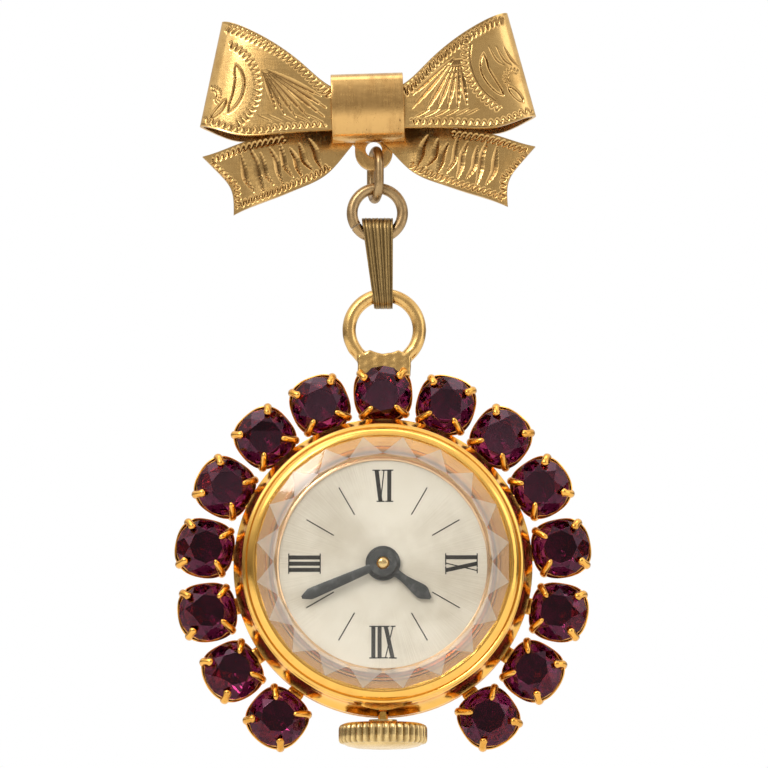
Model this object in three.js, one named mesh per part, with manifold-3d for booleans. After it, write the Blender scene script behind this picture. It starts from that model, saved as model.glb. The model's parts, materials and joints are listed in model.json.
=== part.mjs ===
// A fob watch: an engraved ribbon-bow brooch, a short chain, and a small mechanical watch
// in a ring of claw-set stones, hung upside down so that its wearer can read it.
//
// Millimetres, +Z up, -Y towards the viewer. The origin is the middle of the brooch bar's rear
// face. The watch has its own group, with Y along the watch axis and its back towards +Y.

import * as THREE from 'three';
import { mergeVertices } from 'three/addons/utils/BufferGeometryUtils.js';
import Module from 'manifold-3d';

const wasm = await Module();
wasm.setup();

// ---------------------------------------------------------------- driving dimensions

const JOIN = 0.1; // gap left between two pieces that are soldered, pressed or screwed together
const RUNNING = 0.07; // gap round a piece that turns or slides

const SHEET = 0.3; // thickness of the ribbon sheet
const BOW_TURN = THREE.MathUtils.degToRad(1.8); // the bow sits a little off level on its bar
const LOOP_REACH = 12.4; // half width of the bow loops at mid height
const LOOP_FLARE = 1.0; // extra reach of a loop at its lower edge, and less at its upper edge
const TAIL_REACH = 13.2;
const KNOT = { width: 5.7, bottom: -3.05, top: 2.4, front: -5.25, back: -2.05, wall: 0.35 };

const BAR = { length: 21, thickness: 0.85, height: 2 };
const PIN_LINE = 1.9; // distance of the pin's axis behind the bar
const PIN_RADIUS = 0.35;
const HINGE_X = -9.2;
const CATCH_X = 8.9;
const PIN_TIP_X = 10.3;

const CHAIN_Y = -1.2; // the chain and the watch hang in this plane
const EYE = { x: 0.5, z: -3.28, hole: 0.66, thickness: 0.5, radius: 1.5, bottom: -5 };
const LINK = { x: 0.62, z: -5.32, bend: 1.31, wire: 0.36, straight: 1.26, twist: 14 };
const RING = { x: 0.78, z: -8.4, radius: 2, wire: 0.44 };
const STRAP = { top: -8.8, bottom: -16.13, wall: 0.4, slot: 0.68, wide: 1.3, narrow: 0.75 };

const WATCH = { x: 1.23, z: -36.7 };
const PENDANT = { x: 0.1, z: 18.9, radius: 2.78, wire: 0.545 };

const STONES = 15;
const STONE_PITCH = THREE.MathUtils.degToRad(20.6);
const STONE_CIRCLE = 14.1;
const STONE_DROP = -0.3; // the stones' circle is centred a little below the watch axis
const STONE_LEAN = THREE.MathUtils.degToRad(9);
const STONE_RADIUS = 2.1;
const CUP_RADIUS = 2.5;
const CLAW_LEAN = 0.26;

const CASE_RADIUS = 11.7;
const CASE_WALL_RADIUS = 10.9;
const MOVEMENT_RADIUS = 8.75;
const CROWN = { radius: 3.45, top: -12.2, bottom: -14.2, flutes: 36, flute: 0.13 };
const STEM = { radius: 0.4, depth: -0.9, inner: -5.2 };

const BARREL = { x: -3.46, z: -2 };
const BALANCE = { x: 4.3, z: -1.7, radius: 2.8 };
const ESCAPE = { x: 4.4, z: 3.55 };
const PALLET = { x: 5.1, z: 1.45 };

// ---------------------------------------------------------------- finishes

const finish = (color, roughness, metalness) => ({ color, roughness, metalness });
const GILT = finish(0xd9a54a, 0.3, 1);
const OLD_BRASS = finish(0x7d6136, 0.45, 1);
const CHAMPAGNE = finish(0xd6c08a, 0.3, 1);
const MOVEMENT_BRASS = finish(0xcdb06a, 0.4, 1);
const STEEL = finish(0xb6b9bc, 0.3, 1);
const BLACKENED = finish(0x2b3033, 0.4, 0.8);
const SILVERED = finish(0xe6e0d2, 0.45, 0.6);
const ACRYLIC = finish(0xf4f4ee, 0.05, 0);
const AMETHYST = finish(0x3a1230, 0.05, 0);

// ---------------------------------------------------------------- solids

/** Turn a closed three.js geometry into a solid that can be joined and cut. */
function solidOf(geometry) {
  const bare = geometry.clone();
  bare.deleteAttribute('normal');
  bare.deleteAttribute('uv');
  const merged = mergeVertices(bare, 1e-4);
  const corners = merged.index.array;
  const triangles = [];
  for (let i = 0; i < corners.length; i += 3) {
    const [a, b, c] = corners.slice(i, i + 3);
    if (a !== b && b !== c && c !== a) triangles.push(a, b, c);
  }
  return new wasm.Manifold(new wasm.Mesh({
    numProp: 3,
    vertProperties: new Float32Array(merged.attributes.position.array),
    triVerts: new Uint32Array(triangles),
  }));
}

/** Turn a solid back into a three.js geometry. */
function geometryOf(solid) {
  const mesh = solid.getMesh();
  const geometry = new THREE.BufferGeometry();
  geometry.setAttribute('position', new THREE.BufferAttribute(mesh.vertProperties, 3));
  geometry.setIndex(new THREE.BufferAttribute(mesh.triVerts, 1));
  return geometry;
}

const join = (...geometries) => geometryOf(wasm.Manifold.union(geometries.map(solidOf)));
const cut = (base, ...tools) => geometryOf(
  tools.reduce((solid, tool) => solid.subtract(solidOf(tool)), solidOf(base)),
);

/** A box between two opposite corners. */
function block(low, high) {
  const size = high.map((value, axis) => value - low[axis]);
  const middle = high.map((value, axis) => (value + low[axis]) / 2);
  return new THREE.BoxGeometry(...size).translate(...middle);
}

/** A turned solid about Y. Its profile of [radius, y] corners starts and ends on the axis. */
function turned(profile, segments = 36) {
  const corners = profile.map(([radius, y]) => new THREE.Vector2(radius, y));
  if (THREE.ShapeUtils.area(corners) < 0) corners.reverse();
  return new THREE.LatheGeometry(corners, segments);
}

/** A turned ring about Y, whose profile closes on itself. */
const turnedRing = (profile, segments) => turned([...profile, profile[0]], segments);

/** A cylinder about Y between two levels, its middle at x and z. */
function post(radius, low, high, x = 0, z = 0, segments = 12) {
  const rod = new THREE.CylinderGeometry(radius, radius, high - low, segments);
  return rod.translate(x, (low + high) / 2, z);
}

/** A flat plate: an outline drawn in X and Z, from one Y level to another. */
function plate(shape, low, high, curveSegments = 12) {
  const flat = new THREE.ExtrudeGeometry(shape, {
    depth: high - low, bevelEnabled: false, curveSegments,
  });
  return flat.rotateX(Math.PI / 2).translate(0, high, 0);
}

/** A round hole for an outline. */
function hole(x, z, radius) {
  return new THREE.Path().absarc(x, z, radius, 0, 2 * Math.PI, true);
}

/** An outline through [x, z] corners. */
function outline(corners) {
  return new THREE.Shape(corners.map(([x, z]) => new THREE.Vector2(x, z)));
}

/** Move every vertex of a geometry by a rule that changes the vector it is given. */
function reshape(geometry, rule) {
  const places = geometry.attributes.position;
  const point = new THREE.Vector3();
  for (let i = 0; i < places.count; i += 1) {
    rule(point.fromBufferAttribute(places, i));
    places.setXYZ(i, point.x, point.y, point.z);
  }
  return geometry;
}

/** A named mesh, added to its group. */
function piece(group, name, geometry, look) {
  const mesh = new THREE.Mesh(geometry, new THREE.MeshStandardMaterial(look));
  mesh.name = name;
  group.add(mesh);
  return mesh;
}

// ---------------------------------------------------------------- brooch

// Heights of the ribbons' edges, at even steps from the middle of the bow to their outer ends.
const LOOP_TOP_EDGE = [0.5, 1.1, 3.7, 5.7, 7];
const LOOP_FRONT_EDGE = [-2.2, -2.3, -2.45, -2.55, -1.4];
const LOOP_BACK_EDGE = [-1.1, -1.2, -1.9, -2.6, -1.4];
const TAIL_TOP_EDGE = [0.4, -1.45, -2.05, -2.6, -3.7];
const TAIL_BOTTOM_EDGE = [-1.7, -5.25, -6.9, -8, -9.6];

/** Height of an edge at a share of the way out, smooth between its even steps. */
function edgeHeight(heights, share) {
  const steps = heights.map((height) => new THREE.Vector2(0, height));
  return new THREE.SplineCurve(steps).getPoint(Math.min(share, 1)).y;
}

/** A sheet strip that stands on edge along one half of a bow's plan and its mirror image. */
function bowStrip(half, steps) {
  const left = half.filter(([x]) => x > 0).map(([x, y]) => [-x, y]).reverse();
  const middle = new THREE.SplineCurve([...left, ...half].map(([x, y]) => new THREE.Vector2(x, y)));
  return reshape(new THREE.BoxGeometry(1, SHEET, 1, steps, 1, 1), (point) => {
    const at = middle.getPoint(point.x + 0.5);
    const along = middle.getTangent(point.x + 0.5);
    at.addScaledVector(new THREE.Vector2(-along.y, along.x), point.y);
    point.set(at.x, at.y, point.z + 0.5);
  });
}

/** The strip that makes both loops: out from the knot, round the fold, and across the back. */
function bowLoops() {
  const [frontDepth, backDepth] = [-4.2, -2.3];
  const strip = bowStrip([[0, -2.75], [3, -2.68], [5.8, -2.15], [9, -2.05], [11.4, -2.35],
    [12.25, -3.2], [11.4, -4.15], [9, -4.65], [6, -4.8], [3.3, -4.6], [0.5, -4.45]], 44);
  return reshape(strip, (point) => {
    const share = Math.abs(point.x) / LOOP_REACH;
    const up = point.z;
    const behind = THREE.MathUtils.smoothstep(point.y, frontDepth, backDepth);
    const front = edgeHeight(LOOP_FRONT_EDGE, share);
    const low = THREE.MathUtils.lerp(front, edgeHeight(LOOP_BACK_EDGE, share), behind);
    point.z = THREE.MathUtils.lerp(low, edgeHeight(LOOP_TOP_EDGE, share), up);
    point.x += Math.sign(point.x) * share * LOOP_FLARE * (1 - 2 * up);
  });
}

/** The notched strip behind the knot whose two ends hang as tails. */
function bowTails() {
  const strip = bowStrip([[0, -1.75], [2.6, -1.75], [4.2, -2.05], [6, -2.6], [8.5, -2.6],
    [10.8, -2.3], [TAIL_REACH, -2.4]], 26);
  reshape(strip, (point) => {
    const share = Math.abs(point.x) / TAIL_REACH;
    const low = edgeHeight(TAIL_BOTTOM_EDGE, share);
    point.z = THREE.MathUtils.lerp(low, edgeHeight(TAIL_TOP_EDGE, share), point.z);
  });
  const notches = [1, -1].map((side) => plate(outline([[TAIL_REACH, -3.8], [11, -6],
    [10.8, -8.75], [10.9, -12], [16, -12], [16, -3.8]].map(([x, z]) => [side * x, z])), -4, 0));
  return cut(strip, ...notches);
}

/** The plain band wrapped round the middle of the ribbon. */
function bowKnot() {
  const { width, bottom, top, front, back, wall } = KNOT;
  const loop = (inset, Kind) => {
    const [y0, y1, z0, z1] = [front + inset, back - inset, bottom + inset, top - inset];
    const r = 1.3 - inset;
    return new Kind()
      .moveTo(y0 + r, z0).lineTo(y1, z0).lineTo(y1, z1).lineTo(y0 + r, z1)
      .absarc(y0 + r, z1 - r, r, Math.PI / 2, Math.PI, false)
      .absarc(y0 + r, z0 + r, r, Math.PI, 1.5 * Math.PI, false);
  };
  const band = loop(0, THREE.Shape);
  band.holes.push(loop(wall, THREE.Path));
  const along = new THREE.ExtrudeGeometry(band, {
    depth: width, bevelEnabled: false, curveSegments: 5,
  });
  // the outline is drawn in Y and Z, so its axes are turned to lie across X
  return reshape(along, (point) => point.set(point.z - width / 2, point.x, point.y));
}

/** The tab with a hole that the chain hangs from. */
function hangingEye() {
  const { x, z, hole: radius, thickness, radius: round, bottom } = EYE;
  const middle = bottom + round;
  const tab = new THREE.Shape()
    .moveTo(x - 2.6, 1).lineTo(x - 2.6, -2.2).lineTo(x - round, middle + 0.5)
    .absarc(x, middle, round, Math.PI, 2 * Math.PI, false)
    .lineTo(x + round, middle + 0.5).lineTo(x + 2.6, -2.2).lineTo(x + 2.6, 1);
  tab.holes.push(hole(x, z, radius));
  return plate(tab, CHAIN_Y - thickness / 2, CHAIN_Y + thickness / 2, 8);
}

/** The two-cheeked bracket that holds the pin's hinge rivet. */
function pinHinge() {
  const base = block([HINGE_X - 1.1, JOIN, -0.95], [HINGE_X + 1.1, 0.45, 0.95]);
  const cheeks = [-0.95, 0.55].map((low) => (
    block([HINGE_X - 0.7, 0.3, low], [HINGE_X + 0.7, PIN_LINE + 0.75, low + 0.4])
  ));
  const bore = new THREE.CylinderGeometry(0.42, 0.42, 4, 12).rotateX(Math.PI / 2);
  return cut(join(base, ...cheeks), bore.translate(HINGE_X, PIN_LINE, 0));
}

/** The rivet through the hinge, with a head at each end. */
function hingeRivet() {
  const half = [[0, -1.25], [0.55, -1.25], [0.6, -1.05], [0.35, -1.05]];
  const other = half.map(([radius, y]) => [radius, -y]).reverse();
  const rivet = turned([...half, ...other], 12);
  return rivet.rotateX(Math.PI / 2).translate(HINGE_X, PIN_LINE, 0);
}

/** The pin: an eye round the rivet and a straight pointed wire. */
function broochPin() {
  const length = PIN_TIP_X - HINGE_X - 0.5;
  const wire = turned([[0, 0], [PIN_RADIUS, 0], [PIN_RADIUS, length - 2.2], [0.05, length],
    [0, length]], 10);
  wire.rotateZ(-Math.PI / 2).translate(HINGE_X + 0.5, PIN_LINE, 0);
  const eye = turned([[0, -0.45], [0.75, -0.45], [0.75, 0.45], [0, 0.45]], 16);
  const bore = new THREE.CylinderGeometry(0.42, 0.42, 2, 12).rotateX(Math.PI / 2);
  eye.rotateX(Math.PI / 2).translate(HINGE_X, PIN_LINE, 0);
  return cut(join(eye, wire), bore.translate(HINGE_X, PIN_LINE, 0));
}

/** A C-shaped sleeve round the pin line, open towards the back. */
function openSleeve(outer, inner, halfSlot, low, high) {
  const outside = Math.asin(halfSlot / outer);
  const inside = Math.asin(halfSlot / inner);
  const section = new THREE.Shape()
    .absarc(0, 0, outer, outside, 2 * Math.PI - outside, false)
    .absarc(0, 0, inner, 2 * Math.PI - inside, inside, true);
  const sleeve = new THREE.ExtrudeGeometry(section, {
    depth: high - low, bevelEnabled: false, curveSegments: 12,
  });
  return reshape(sleeve, (point) => point.set(low + point.z, PIN_LINE + point.x, point.y));
}

/** The fixed half of the safety catch. */
function catchBase() {
  const foot = block([CATCH_X - 0.8, JOIN, -0.9], [CATCH_X + 0.8, 0.62, 0.9]);
  return join(foot, openSleeve(1.45, 1.05, 0.55, CATCH_X - 0.7, CATCH_X + 0.7));
}

/** The sleeve that turns inside the catch to shut it, with its finger tab. */
function catchRoller() {
  const sleeve = openSleeve(1.05 - RUNNING, 0.5, 0.42, CATCH_X - 1, CATCH_X + 1);
  const tab = block([CATCH_X + 0.75, PIN_LINE - 0.3, 0.7], [CATCH_X + 1, PIN_LINE + 0.3, 2.2]);
  return join(sleeve, tab);
}

function brooch() {
  const group = new THREE.Group();
  const half = BAR.length / 2;
  const bar = block([-half, -BAR.thickness, -BAR.height / 2], [half, 0, BAR.height / 2]);
  piece(group, 'back_bar', bar, GILT);
  const bow = new THREE.Group();
  bow.rotation.y = -BOW_TURN;
  piece(bow, 'bow_loops', bowLoops(), GILT);
  piece(bow, 'bow_tails', bowTails(), GILT);
  piece(bow, 'bow_knot', bowKnot(), GILT);
  group.add(bow);
  piece(group, 'hanging_eye', hangingEye(), GILT);
  piece(group, 'pin_hinge', pinHinge(), GILT);
  piece(group, 'hinge_rivet', hingeRivet(), GILT);
  piece(group, 'brooch_pin', broochPin(), STEEL);
  piece(group, 'catch_base', catchBase(), GILT);
  piece(group, 'catch_roller', catchRoller(), GILT);
  return group;
}

// ---------------------------------------------------------------- chain

/** The long link from the eye to the jump ring: a wire ring drawn out into an oval. */
function ovalLink() {
  const ring = new THREE.TorusGeometry(LINK.bend, LINK.wire, 8, 20);
  ring.rotateZ(Math.PI / 20);
  reshape(ring, (point) => { point.y += Math.sign(point.y) * LINK.straight / 2; });
  ring.rotateX(Math.PI / 2).rotateZ(Math.PI / 2 + THREE.MathUtils.degToRad(LINK.twist));
  return ring.translate(LINK.x, CHAIN_Y, LINK.z);
}

/** The flat band that joins the jump ring to the watch, tapered and a little slanted. */
function strapLink() {
  const { top, bottom, wall, slot, wide, narrow } = STRAP;
  const loop = (half, Kind) => {
    const [low, high] = [bottom + slot + wall, top - slot - wall];
    return new Kind()
      .absarc(CHAIN_Y, high, half, 0, Math.PI, false)
      .absarc(CHAIN_Y, low, half, Math.PI, 2 * Math.PI, false)
      .lineTo(CHAIN_Y + half, high);
  };
  const band = loop(slot + wall, THREE.Shape);
  band.holes.push(loop(slot, THREE.Path));
  const strap = new THREE.ExtrudeGeometry(band, {
    depth: 2, bevelEnabled: false, curveSegments: 8,
  });
  const foot = WATCH.x + PENDANT.x - 0.05;
  return reshape(strap, (point) => {
    const down = (top - point.y) / (top - bottom);
    const half = THREE.MathUtils.lerp(wide, narrow, down);
    const middle = THREE.MathUtils.lerp(RING.x, foot, down);
    point.set(middle + (point.z - 1) * half, point.x, point.y);
  });
}

function chain() {
  const group = new THREE.Group();
  piece(group, 'oval_link', ovalLink(), OLD_BRASS);
  const ring = new THREE.TorusGeometry(RING.radius, RING.wire, 8, 24).rotateX(Math.PI / 2);
  piece(group, 'jump_ring', ring.translate(RING.x, CHAIN_Y, RING.z), OLD_BRASS);
  piece(group, 'strap_link', strapLink(), OLD_BRASS);
  return group;
}

// ---------------------------------------------------------------- stones and their frame

const SADDLE_FOOT = STONE_DROP + STONE_CIRCLE + STONE_RADIUS + 0.1;

/** Put a geometry, modelled about the watch axis, at one place of the stones' circle. */
function atStone(geometry, index) {
  geometry.rotateX(STONE_LEAN).translate(0, 0, STONE_CIRCLE);
  return geometry.rotateY(index * STONE_PITCH).translate(0, 0, STONE_DROP);
}

/** A round stone with an eight-sided table. */
function stone() {
  return turned([[0, -1.05], [1.25, -1.05], [STONE_RADIUS, -0.12], [STONE_RADIUS, 0.1],
    [0.25, 1.5], [0, 1.5]], 8).rotateY(Math.PI / 8);
}

/** One setting: a tapered cup, and four claws that lean in over the stone. */
function setting() {
  const cup = turnedRing([[CUP_RADIUS - 0.12, -0.1], [1.4, 1.3], [CUP_RADIUS, -0.1]], 10);
  const claws = [1, 3, 5, 7].map((eighth) => {
    const claw = block([-0.21, -1, -0.17], [0.21, 0.7, 0.17]);
    claw.rotateX(CLAW_LEAN).translate(0, 0, 2.3);
    return claw.rotateY(eighth * Math.PI / 4);
  });
  return [cup, ...claws];
}

/** The ring behind the case flange, with a strut to each of its fifteen settings. */
function clawFrame() {
  const parts = [turnedRing([[CASE_WALL_RADIUS + JOIN, 0.35], [CASE_RADIUS, 0.35],
    [CASE_RADIUS, 1.25], [CASE_WALL_RADIUS + JOIN, 1.25]], 24)];
  const reach = (STONES - 1) / 2;
  for (let index = -reach; index <= reach; index += 1) {
    parts.push(...setting().map((shape) => atStone(shape, index)));
    const strut = block([-0.6, 0.6, 11.3], [0.6, 1.1, 12.4]);
    parts.push(strut.rotateY(index * STONE_PITCH).translate(0, 0, STONE_DROP));
  }
  const seat = block([-2.7, -3, SADDLE_FOOT - JOIN], [2.7, 3, SADDLE_FOOT + 2]);
  return cut(join(...parts), seat);
}

/** The ring that the watch hangs by, with a broad saddle on the top setting. */
function pendantRing() {
  const { x, z, radius, wire } = PENDANT;
  const ring = new THREE.TorusGeometry(radius, wire, 8, 24).rotateX(Math.PI / 2);
  const inner = radius - wire + 0.08;
  const shoulder = 1.6;
  const rise = Math.asin(shoulder / inner);
  const saddle = new THREE.Shape()
    .moveTo(x - 2.1, SADDLE_FOOT).lineTo(x + 2.1, SADDLE_FOOT)
    .lineTo(x + 2.2, z - inner * Math.cos(rise))
    .absarc(x, z, inner, 1.5 * Math.PI + rise, 1.5 * Math.PI - rise, true)
    .lineTo(x - 2.2, z - inner * Math.cos(rise));
  const below = block([-3, -2, SADDLE_FOOT - 1], [3, 2, SADDLE_FOOT]);
  return cut(join(ring.translate(x, 0, z), plate(saddle, -0.6, 0.7, 8)), below);
}

// ---------------------------------------------------------------- case

/** A geometry modelled about Y, turned to stand on the winding stem's axis. */
function onStem(geometry) {
  return geometry.rotateX(Math.PI / 2).translate(0, STEM.depth, 0);
}

/** The middle of the case, with its flange, the stem's hole and a scoop for a fingernail. */
function caseBand() {
  const band = turnedRing([[9, -3.35], [10.75, -3.35], [10.85, -2.9], [11.05, -1.9],
    [CASE_RADIUS, -0.9], [CASE_RADIUS, -0.35], [CASE_WALL_RADIUS, 0.1], [CASE_WALL_RADIUS, 1.35],
    [10.6, 1.6], [9, 1.6]]);
  const bore = onStem(post(STEM.radius + RUNNING, -13, -8, 0, 0, 10));
  const scoop = new THREE.CylinderGeometry(2.6, 2.6, 2, 20).rotateX(Math.PI / 2);
  return cut(band, bore, scoop.translate(0, -3.2, -11.85));
}

/** The bezel that holds the crystal. */
function bezel() {
  return turnedRing([[9.9, -4.6], [9.9, -3.95], [9.3, -3.95], [9.3, -3.45], [10.8, -3.45],
    [10.9, -3.75], [10.75, -4.15], [10.2, -4.55]]);
}

/** The domed crystal with its sloping rim. */
function crystal() {
  return turned([[0, -5.4], [5, -5.28], [8.5, -5], [9.8, -4.6], [9.8, -4.05], [9, -4.05],
    [8.3, -4.55], [0, -4.95]]);
}

/** The pressed-on back of the case. */
function caseBack() {
  return turned([[0, 2.6], [8.8, 2.6], [10.4, 2.25], [10.9, 1.85], [10.9, 1.7], [8.9, 1.7],
    [8.6, 2.1], [0, 2.1]]);
}

/** The knurled crown, with a blind bore for the stem. */
function crown() {
  const { radius, top, bottom, flutes, flute } = CROWN;
  const rim = [];
  for (let i = 0; i < 2 * flutes; i += 1) {
    const reach = radius - (i % 2) * flute;
    const angle = i * Math.PI / flutes;
    rim.push([reach * Math.cos(angle), reach * Math.sin(angle)]);
  }
  const knurled = onStem(plate(outline(rim), bottom + 0.5, top - 0.3, 1));
  const body = onStem(turned([[0, bottom], [2.3, bottom], [2.9, bottom + 0.2],
    [3.15, bottom + 0.7], [3.15, top - 0.2], [2.9, top], [1.1, top], [1.1, top + 0.25],
    [0, top + 0.25]], 18));
  const bore = onStem(post(STEM.radius + JOIN, bottom + 0.8, top + 1, 0, 0, 10));
  return cut(join(body, knurled), bore);
}

/** The winding stem, with the groove that the setting lever sits in. */
function windingStem() {
  const r = STEM.radius;
  const groove = -8.2;
  return onStem(turned([[0, STEM.inner], [r, STEM.inner], [r, groove + 0.3],
    [r - 0.15, groove + 0.3], [r - 0.15, groove], [r, groove], [r, CROWN.bottom + 0.9],
    [0, CROWN.bottom + 0.9]], 10));
}

// ---------------------------------------------------------------- dial and hands

/** Turn a flat hand, drawn pointing up, to the angle it shows, clockwise from the top. */
function pointing(geometry, degrees) {
  return geometry.rotateY(THREE.MathUtils.degToRad(degrees));
}

/** A hand: a round hub with a hole, and a blade that narrows to a point. */
function hand({ length, hub, bore, neck, belly, low, high }) {
  const start = Math.sqrt(hub * hub - neck * neck);
  const lean = Math.asin(neck / hub);
  const blade = new THREE.Shape()
    .moveTo(neck, start).lineTo(belly, length * 0.55).lineTo(0.05, length)
    .lineTo(-0.05, length).lineTo(-belly, length * 0.55).lineTo(-neck, start)
    .absarc(0, 0, hub, Math.PI / 2 + lean, 2.5 * Math.PI - lean, false);
  blade.holes.push(hole(0, 0, bore));
  return plate(blade, low, high, 12);
}

const MINUTE_ANGLE = -113.3; // on the hanging watch, measured from the pendant
const HOUR_ANGLE = 126.4;

// ---------------------------------------------------------------- movement

/** An outline of pointed teeth, its middle at x and z. */
function toothed(teeth, radius, x = 0, z = 0, depth = 0.2) {
  const corners = [];
  for (let i = 0; i < 2 * teeth; i += 1) {
    const reach = radius - (i % 2) * depth;
    const angle = i * Math.PI / teeth;
    corners.push([x + reach * Math.cos(angle), z + reach * Math.sin(angle)]);
  }
  return outline(corners);
}

/** A train wheel: its toothed disc, its arbor, and the pinion that drives or is driven. */
function trainWheel({ teeth, radius, low, x, z, pinion, pinionLow, arbor }) {
  const disc = plate(toothed(teeth, radius, x, z), low, low + 0.15, 1);
  const leaves = post(pinion, pinionLow, pinionLow + 0.3, x, z, 8);
  return join(disc, leaves, post(0.15, ...arbor, x, z, 8));
}

/** A part of the movement's top plate, between two angles, with a foot on the main plate. */
function bridge(from, to) {
  const [start, end] = [from, to].map(THREE.MathUtils.degToRad);
  const outer = MOVEMENT_RADIUS - 0.15;
  const top = new THREE.Shape()
    .moveTo(0.6 * Math.cos((start + end) / 2), 0.6 * Math.sin((start + end) / 2))
    .absarc(0, 0, outer, start, end, false);
  const footing = outer - 0.1;
  const foot = new THREE.Shape()
    .absarc(0, 0, footing, start + 0.1, end - 0.1, false)
    .absarc(0, 0, footing - 0.7, end - 0.1, start + 0.1, true);
  return join(plate(top, 0.6, 1.15, 10), plate(foot, -1.4 + JOIN, 0.7, 10));
}

/** The plate that everything in the watch is mounted on. */
function mainPlate() {
  const disc = new THREE.Shape().absarc(0, 0, MOVEMENT_RADIUS, 0, 2 * Math.PI, false);
  disc.holes.push(hole(0, 0, 0.5));
  const slot = block([-1.1, -1.8, -9], [1.1, 0, -5]);
  return cut(plate(disc, -2.2, -1.4, 20), slot);
}

/** The drum that holds the mainspring, toothed round one edge. */
function barrel() {
  const { x, z } = BARREL;
  const rim = plate(toothed(28, 3.3, x, z), -0.35, -0.1, 1);
  const drum = post(2.9, -1.3, -0.2, x, z, 24);
  return cut(join(rim, drum), post(0.6, -2, 1, x, z, 12));
}

/** The wheel that winds the mainspring, on the barrel's arbor. */
function ratchetWheel() {
  const { x, z } = BARREL;
  const wheel = plate(toothed(20, 2.25, x, z), 1.25, 1.4, 1);
  return join(wheel, post(0.5, -1.25, 1.3, x, z, 10));
}

/** The two-armed balance, with its staff. */
function balanceWheel() {
  const { x, z, radius } = BALANCE;
  const rim = turnedRing([[radius - 0.4, -0.5], [radius, -0.5], [radius, -0.2],
    [radius - 0.4, -0.2]], 28).translate(x, 0, z);
  const arm = block([x - 0.25, -0.45, z - radius + 0.2], [x + 0.25, -0.25, z + radius - 0.2]);
  return join(rim, arm, post(0.15, -1.3, 0.5, x, z, 8), post(0.35, -0.5, -0.18, x, z, 8));
}

/** The flat spiral spring over the balance. */
function hairspring() {
  const turns = 3;
  const steps = turns * 12;
  const [start, end, half] = [0.45, 1.6, 0.04];
  const edge = (offset) => Array.from({ length: steps + 1 }, (_, i) => {
    const angle = i * turns * 2 * Math.PI / steps;
    const reach = THREE.MathUtils.lerp(start, end, i / steps) + offset;
    return [BALANCE.x + reach * Math.cos(angle), BALANCE.z + reach * Math.sin(angle)];
  });
  return plate(outline([...edge(half), ...edge(-half).reverse()]), -0.1, 0.05, 1);
}

/** The lever between the escape wheel and the balance. */
function palletLever() {
  const { x, z } = PALLET;
  const anchor = outline([[x - 1.2, z + 0.35], [x - 0.2, z - 0.25], [x + 0.2, z - 0.25],
    [x + 0.9, z + 0.6], [x + 0.6, z + 0.7], [x, z + 0.2], [x - 1, z + 0.6]]);
  const tail = outline([[x - 0.2, z], [x + 0.2, z], [x - 0.35, z - 2.35], [x - 0.65, z - 2.35]]);
  return join(plate(anchor, -1.05, -0.9), plate(tail, -1.05, -0.9),
    post(0.15, -1.3, 0.5, x, z, 8));
}

/** The arm that carries the balance's upper pivot. */
function balanceCock() {
  const { x, z } = BALANCE;
  const arm = new THREE.Shape()
    .absarc(x, z, 1.1, Math.PI / 2, 1.5 * Math.PI, false)
    .lineTo(7.9, z - 1.3).lineTo(8.15, z + 1.1);
  const foot = outline([[7.65, z - 1.2], [7.95, z - 1.2], [8.3, z + 1], [7.9, z + 1]]);
  return join(plate(arm, 0.6, 1.15, 10), plate(foot, -1.4 + JOIN, 0.7));
}

/** The lever that holds the stem and is tipped when the crown is pulled. */
function settingLever() {
  const arm = outline([[0.62, -7.9], [2.3, -7.35], [2.7, -6.6], [2.2, -6.2], [1.7, -6.6],
    [0.62, -7.5]]);
  return plate(arm, -1.35, -1.15);
}

/** Everything between the dial and the case back. */
function movement(group) {
  piece(group, 'main_plate', mainPlate(), MOVEMENT_BRASS);
  piece(group, 'barrel', barrel(), MOVEMENT_BRASS);
  const arborHole = post(0.6, 0, 2, BARREL.x, BARREL.z);
  piece(group, 'barrel_bridge', cut(bridge(150, 272), arborHole), STEEL);
  piece(group, 'ratchet_wheel', ratchetWheel(), STEEL);
  piece(group, 'crown_wheel', plate(toothed(16, 1.35, -1.2, -5), 1.25, 1.4, 1), STEEL);
  const centre = trainWheel({
    teeth: 26, radius: 2.9, low: 0.05, x: 0, z: 0, pinion: 0.45, pinionLow: -0.35,
    arbor: [-4.1, 0.5],
  });
  piece(group, 'centre_wheel', centre, MOVEMENT_BRASS);
  const third = trainWheel({
    teeth: 22, radius: 2.3, low: -0.3, x: -0.6, z: 3.35, pinion: 0.35, pinionLow: 0,
    arbor: [-1.3, 0.5],
  });
  piece(group, 'third_wheel', third, MOVEMENT_BRASS);
  const fourth = trainWheel({
    teeth: 20, radius: 2, low: -0.65, x: 2, z: 3.9, pinion: 0.28, pinionLow: -0.4,
    arbor: [-1.3, 0.5],
  });
  piece(group, 'fourth_wheel', fourth, MOVEMENT_BRASS);
  const escape = trainWheel({
    teeth: 15, radius: 1.4, low: -1.05, ...ESCAPE, pinion: 0.3, pinionLow: -0.75,
    arbor: [-1.3, 0.5],
  });
  piece(group, 'escape_wheel', escape, STEEL);
  piece(group, 'train_bridge', bridge(10, 146), STEEL);
  piece(group, 'pallet_lever', palletLever(), STEEL);
  piece(group, 'balance_wheel', balanceWheel(), MOVEMENT_BRASS);
  piece(group, 'hairspring', hairspring(), STEEL);
  piece(group, 'balance_cock', balanceCock(), STEEL);
  const pinion = cut(
    onStem(plate(toothed(12, 0.75), -7.2, -6.2, 1)),
    onStem(post(STEM.radius + RUNNING, -9, -5, 0, 0, 10)),
  );
  piece(group, 'winding_pinion', pinion, STEEL);
  piece(group, 'setting_lever', settingLever(), STEEL);
}

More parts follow.
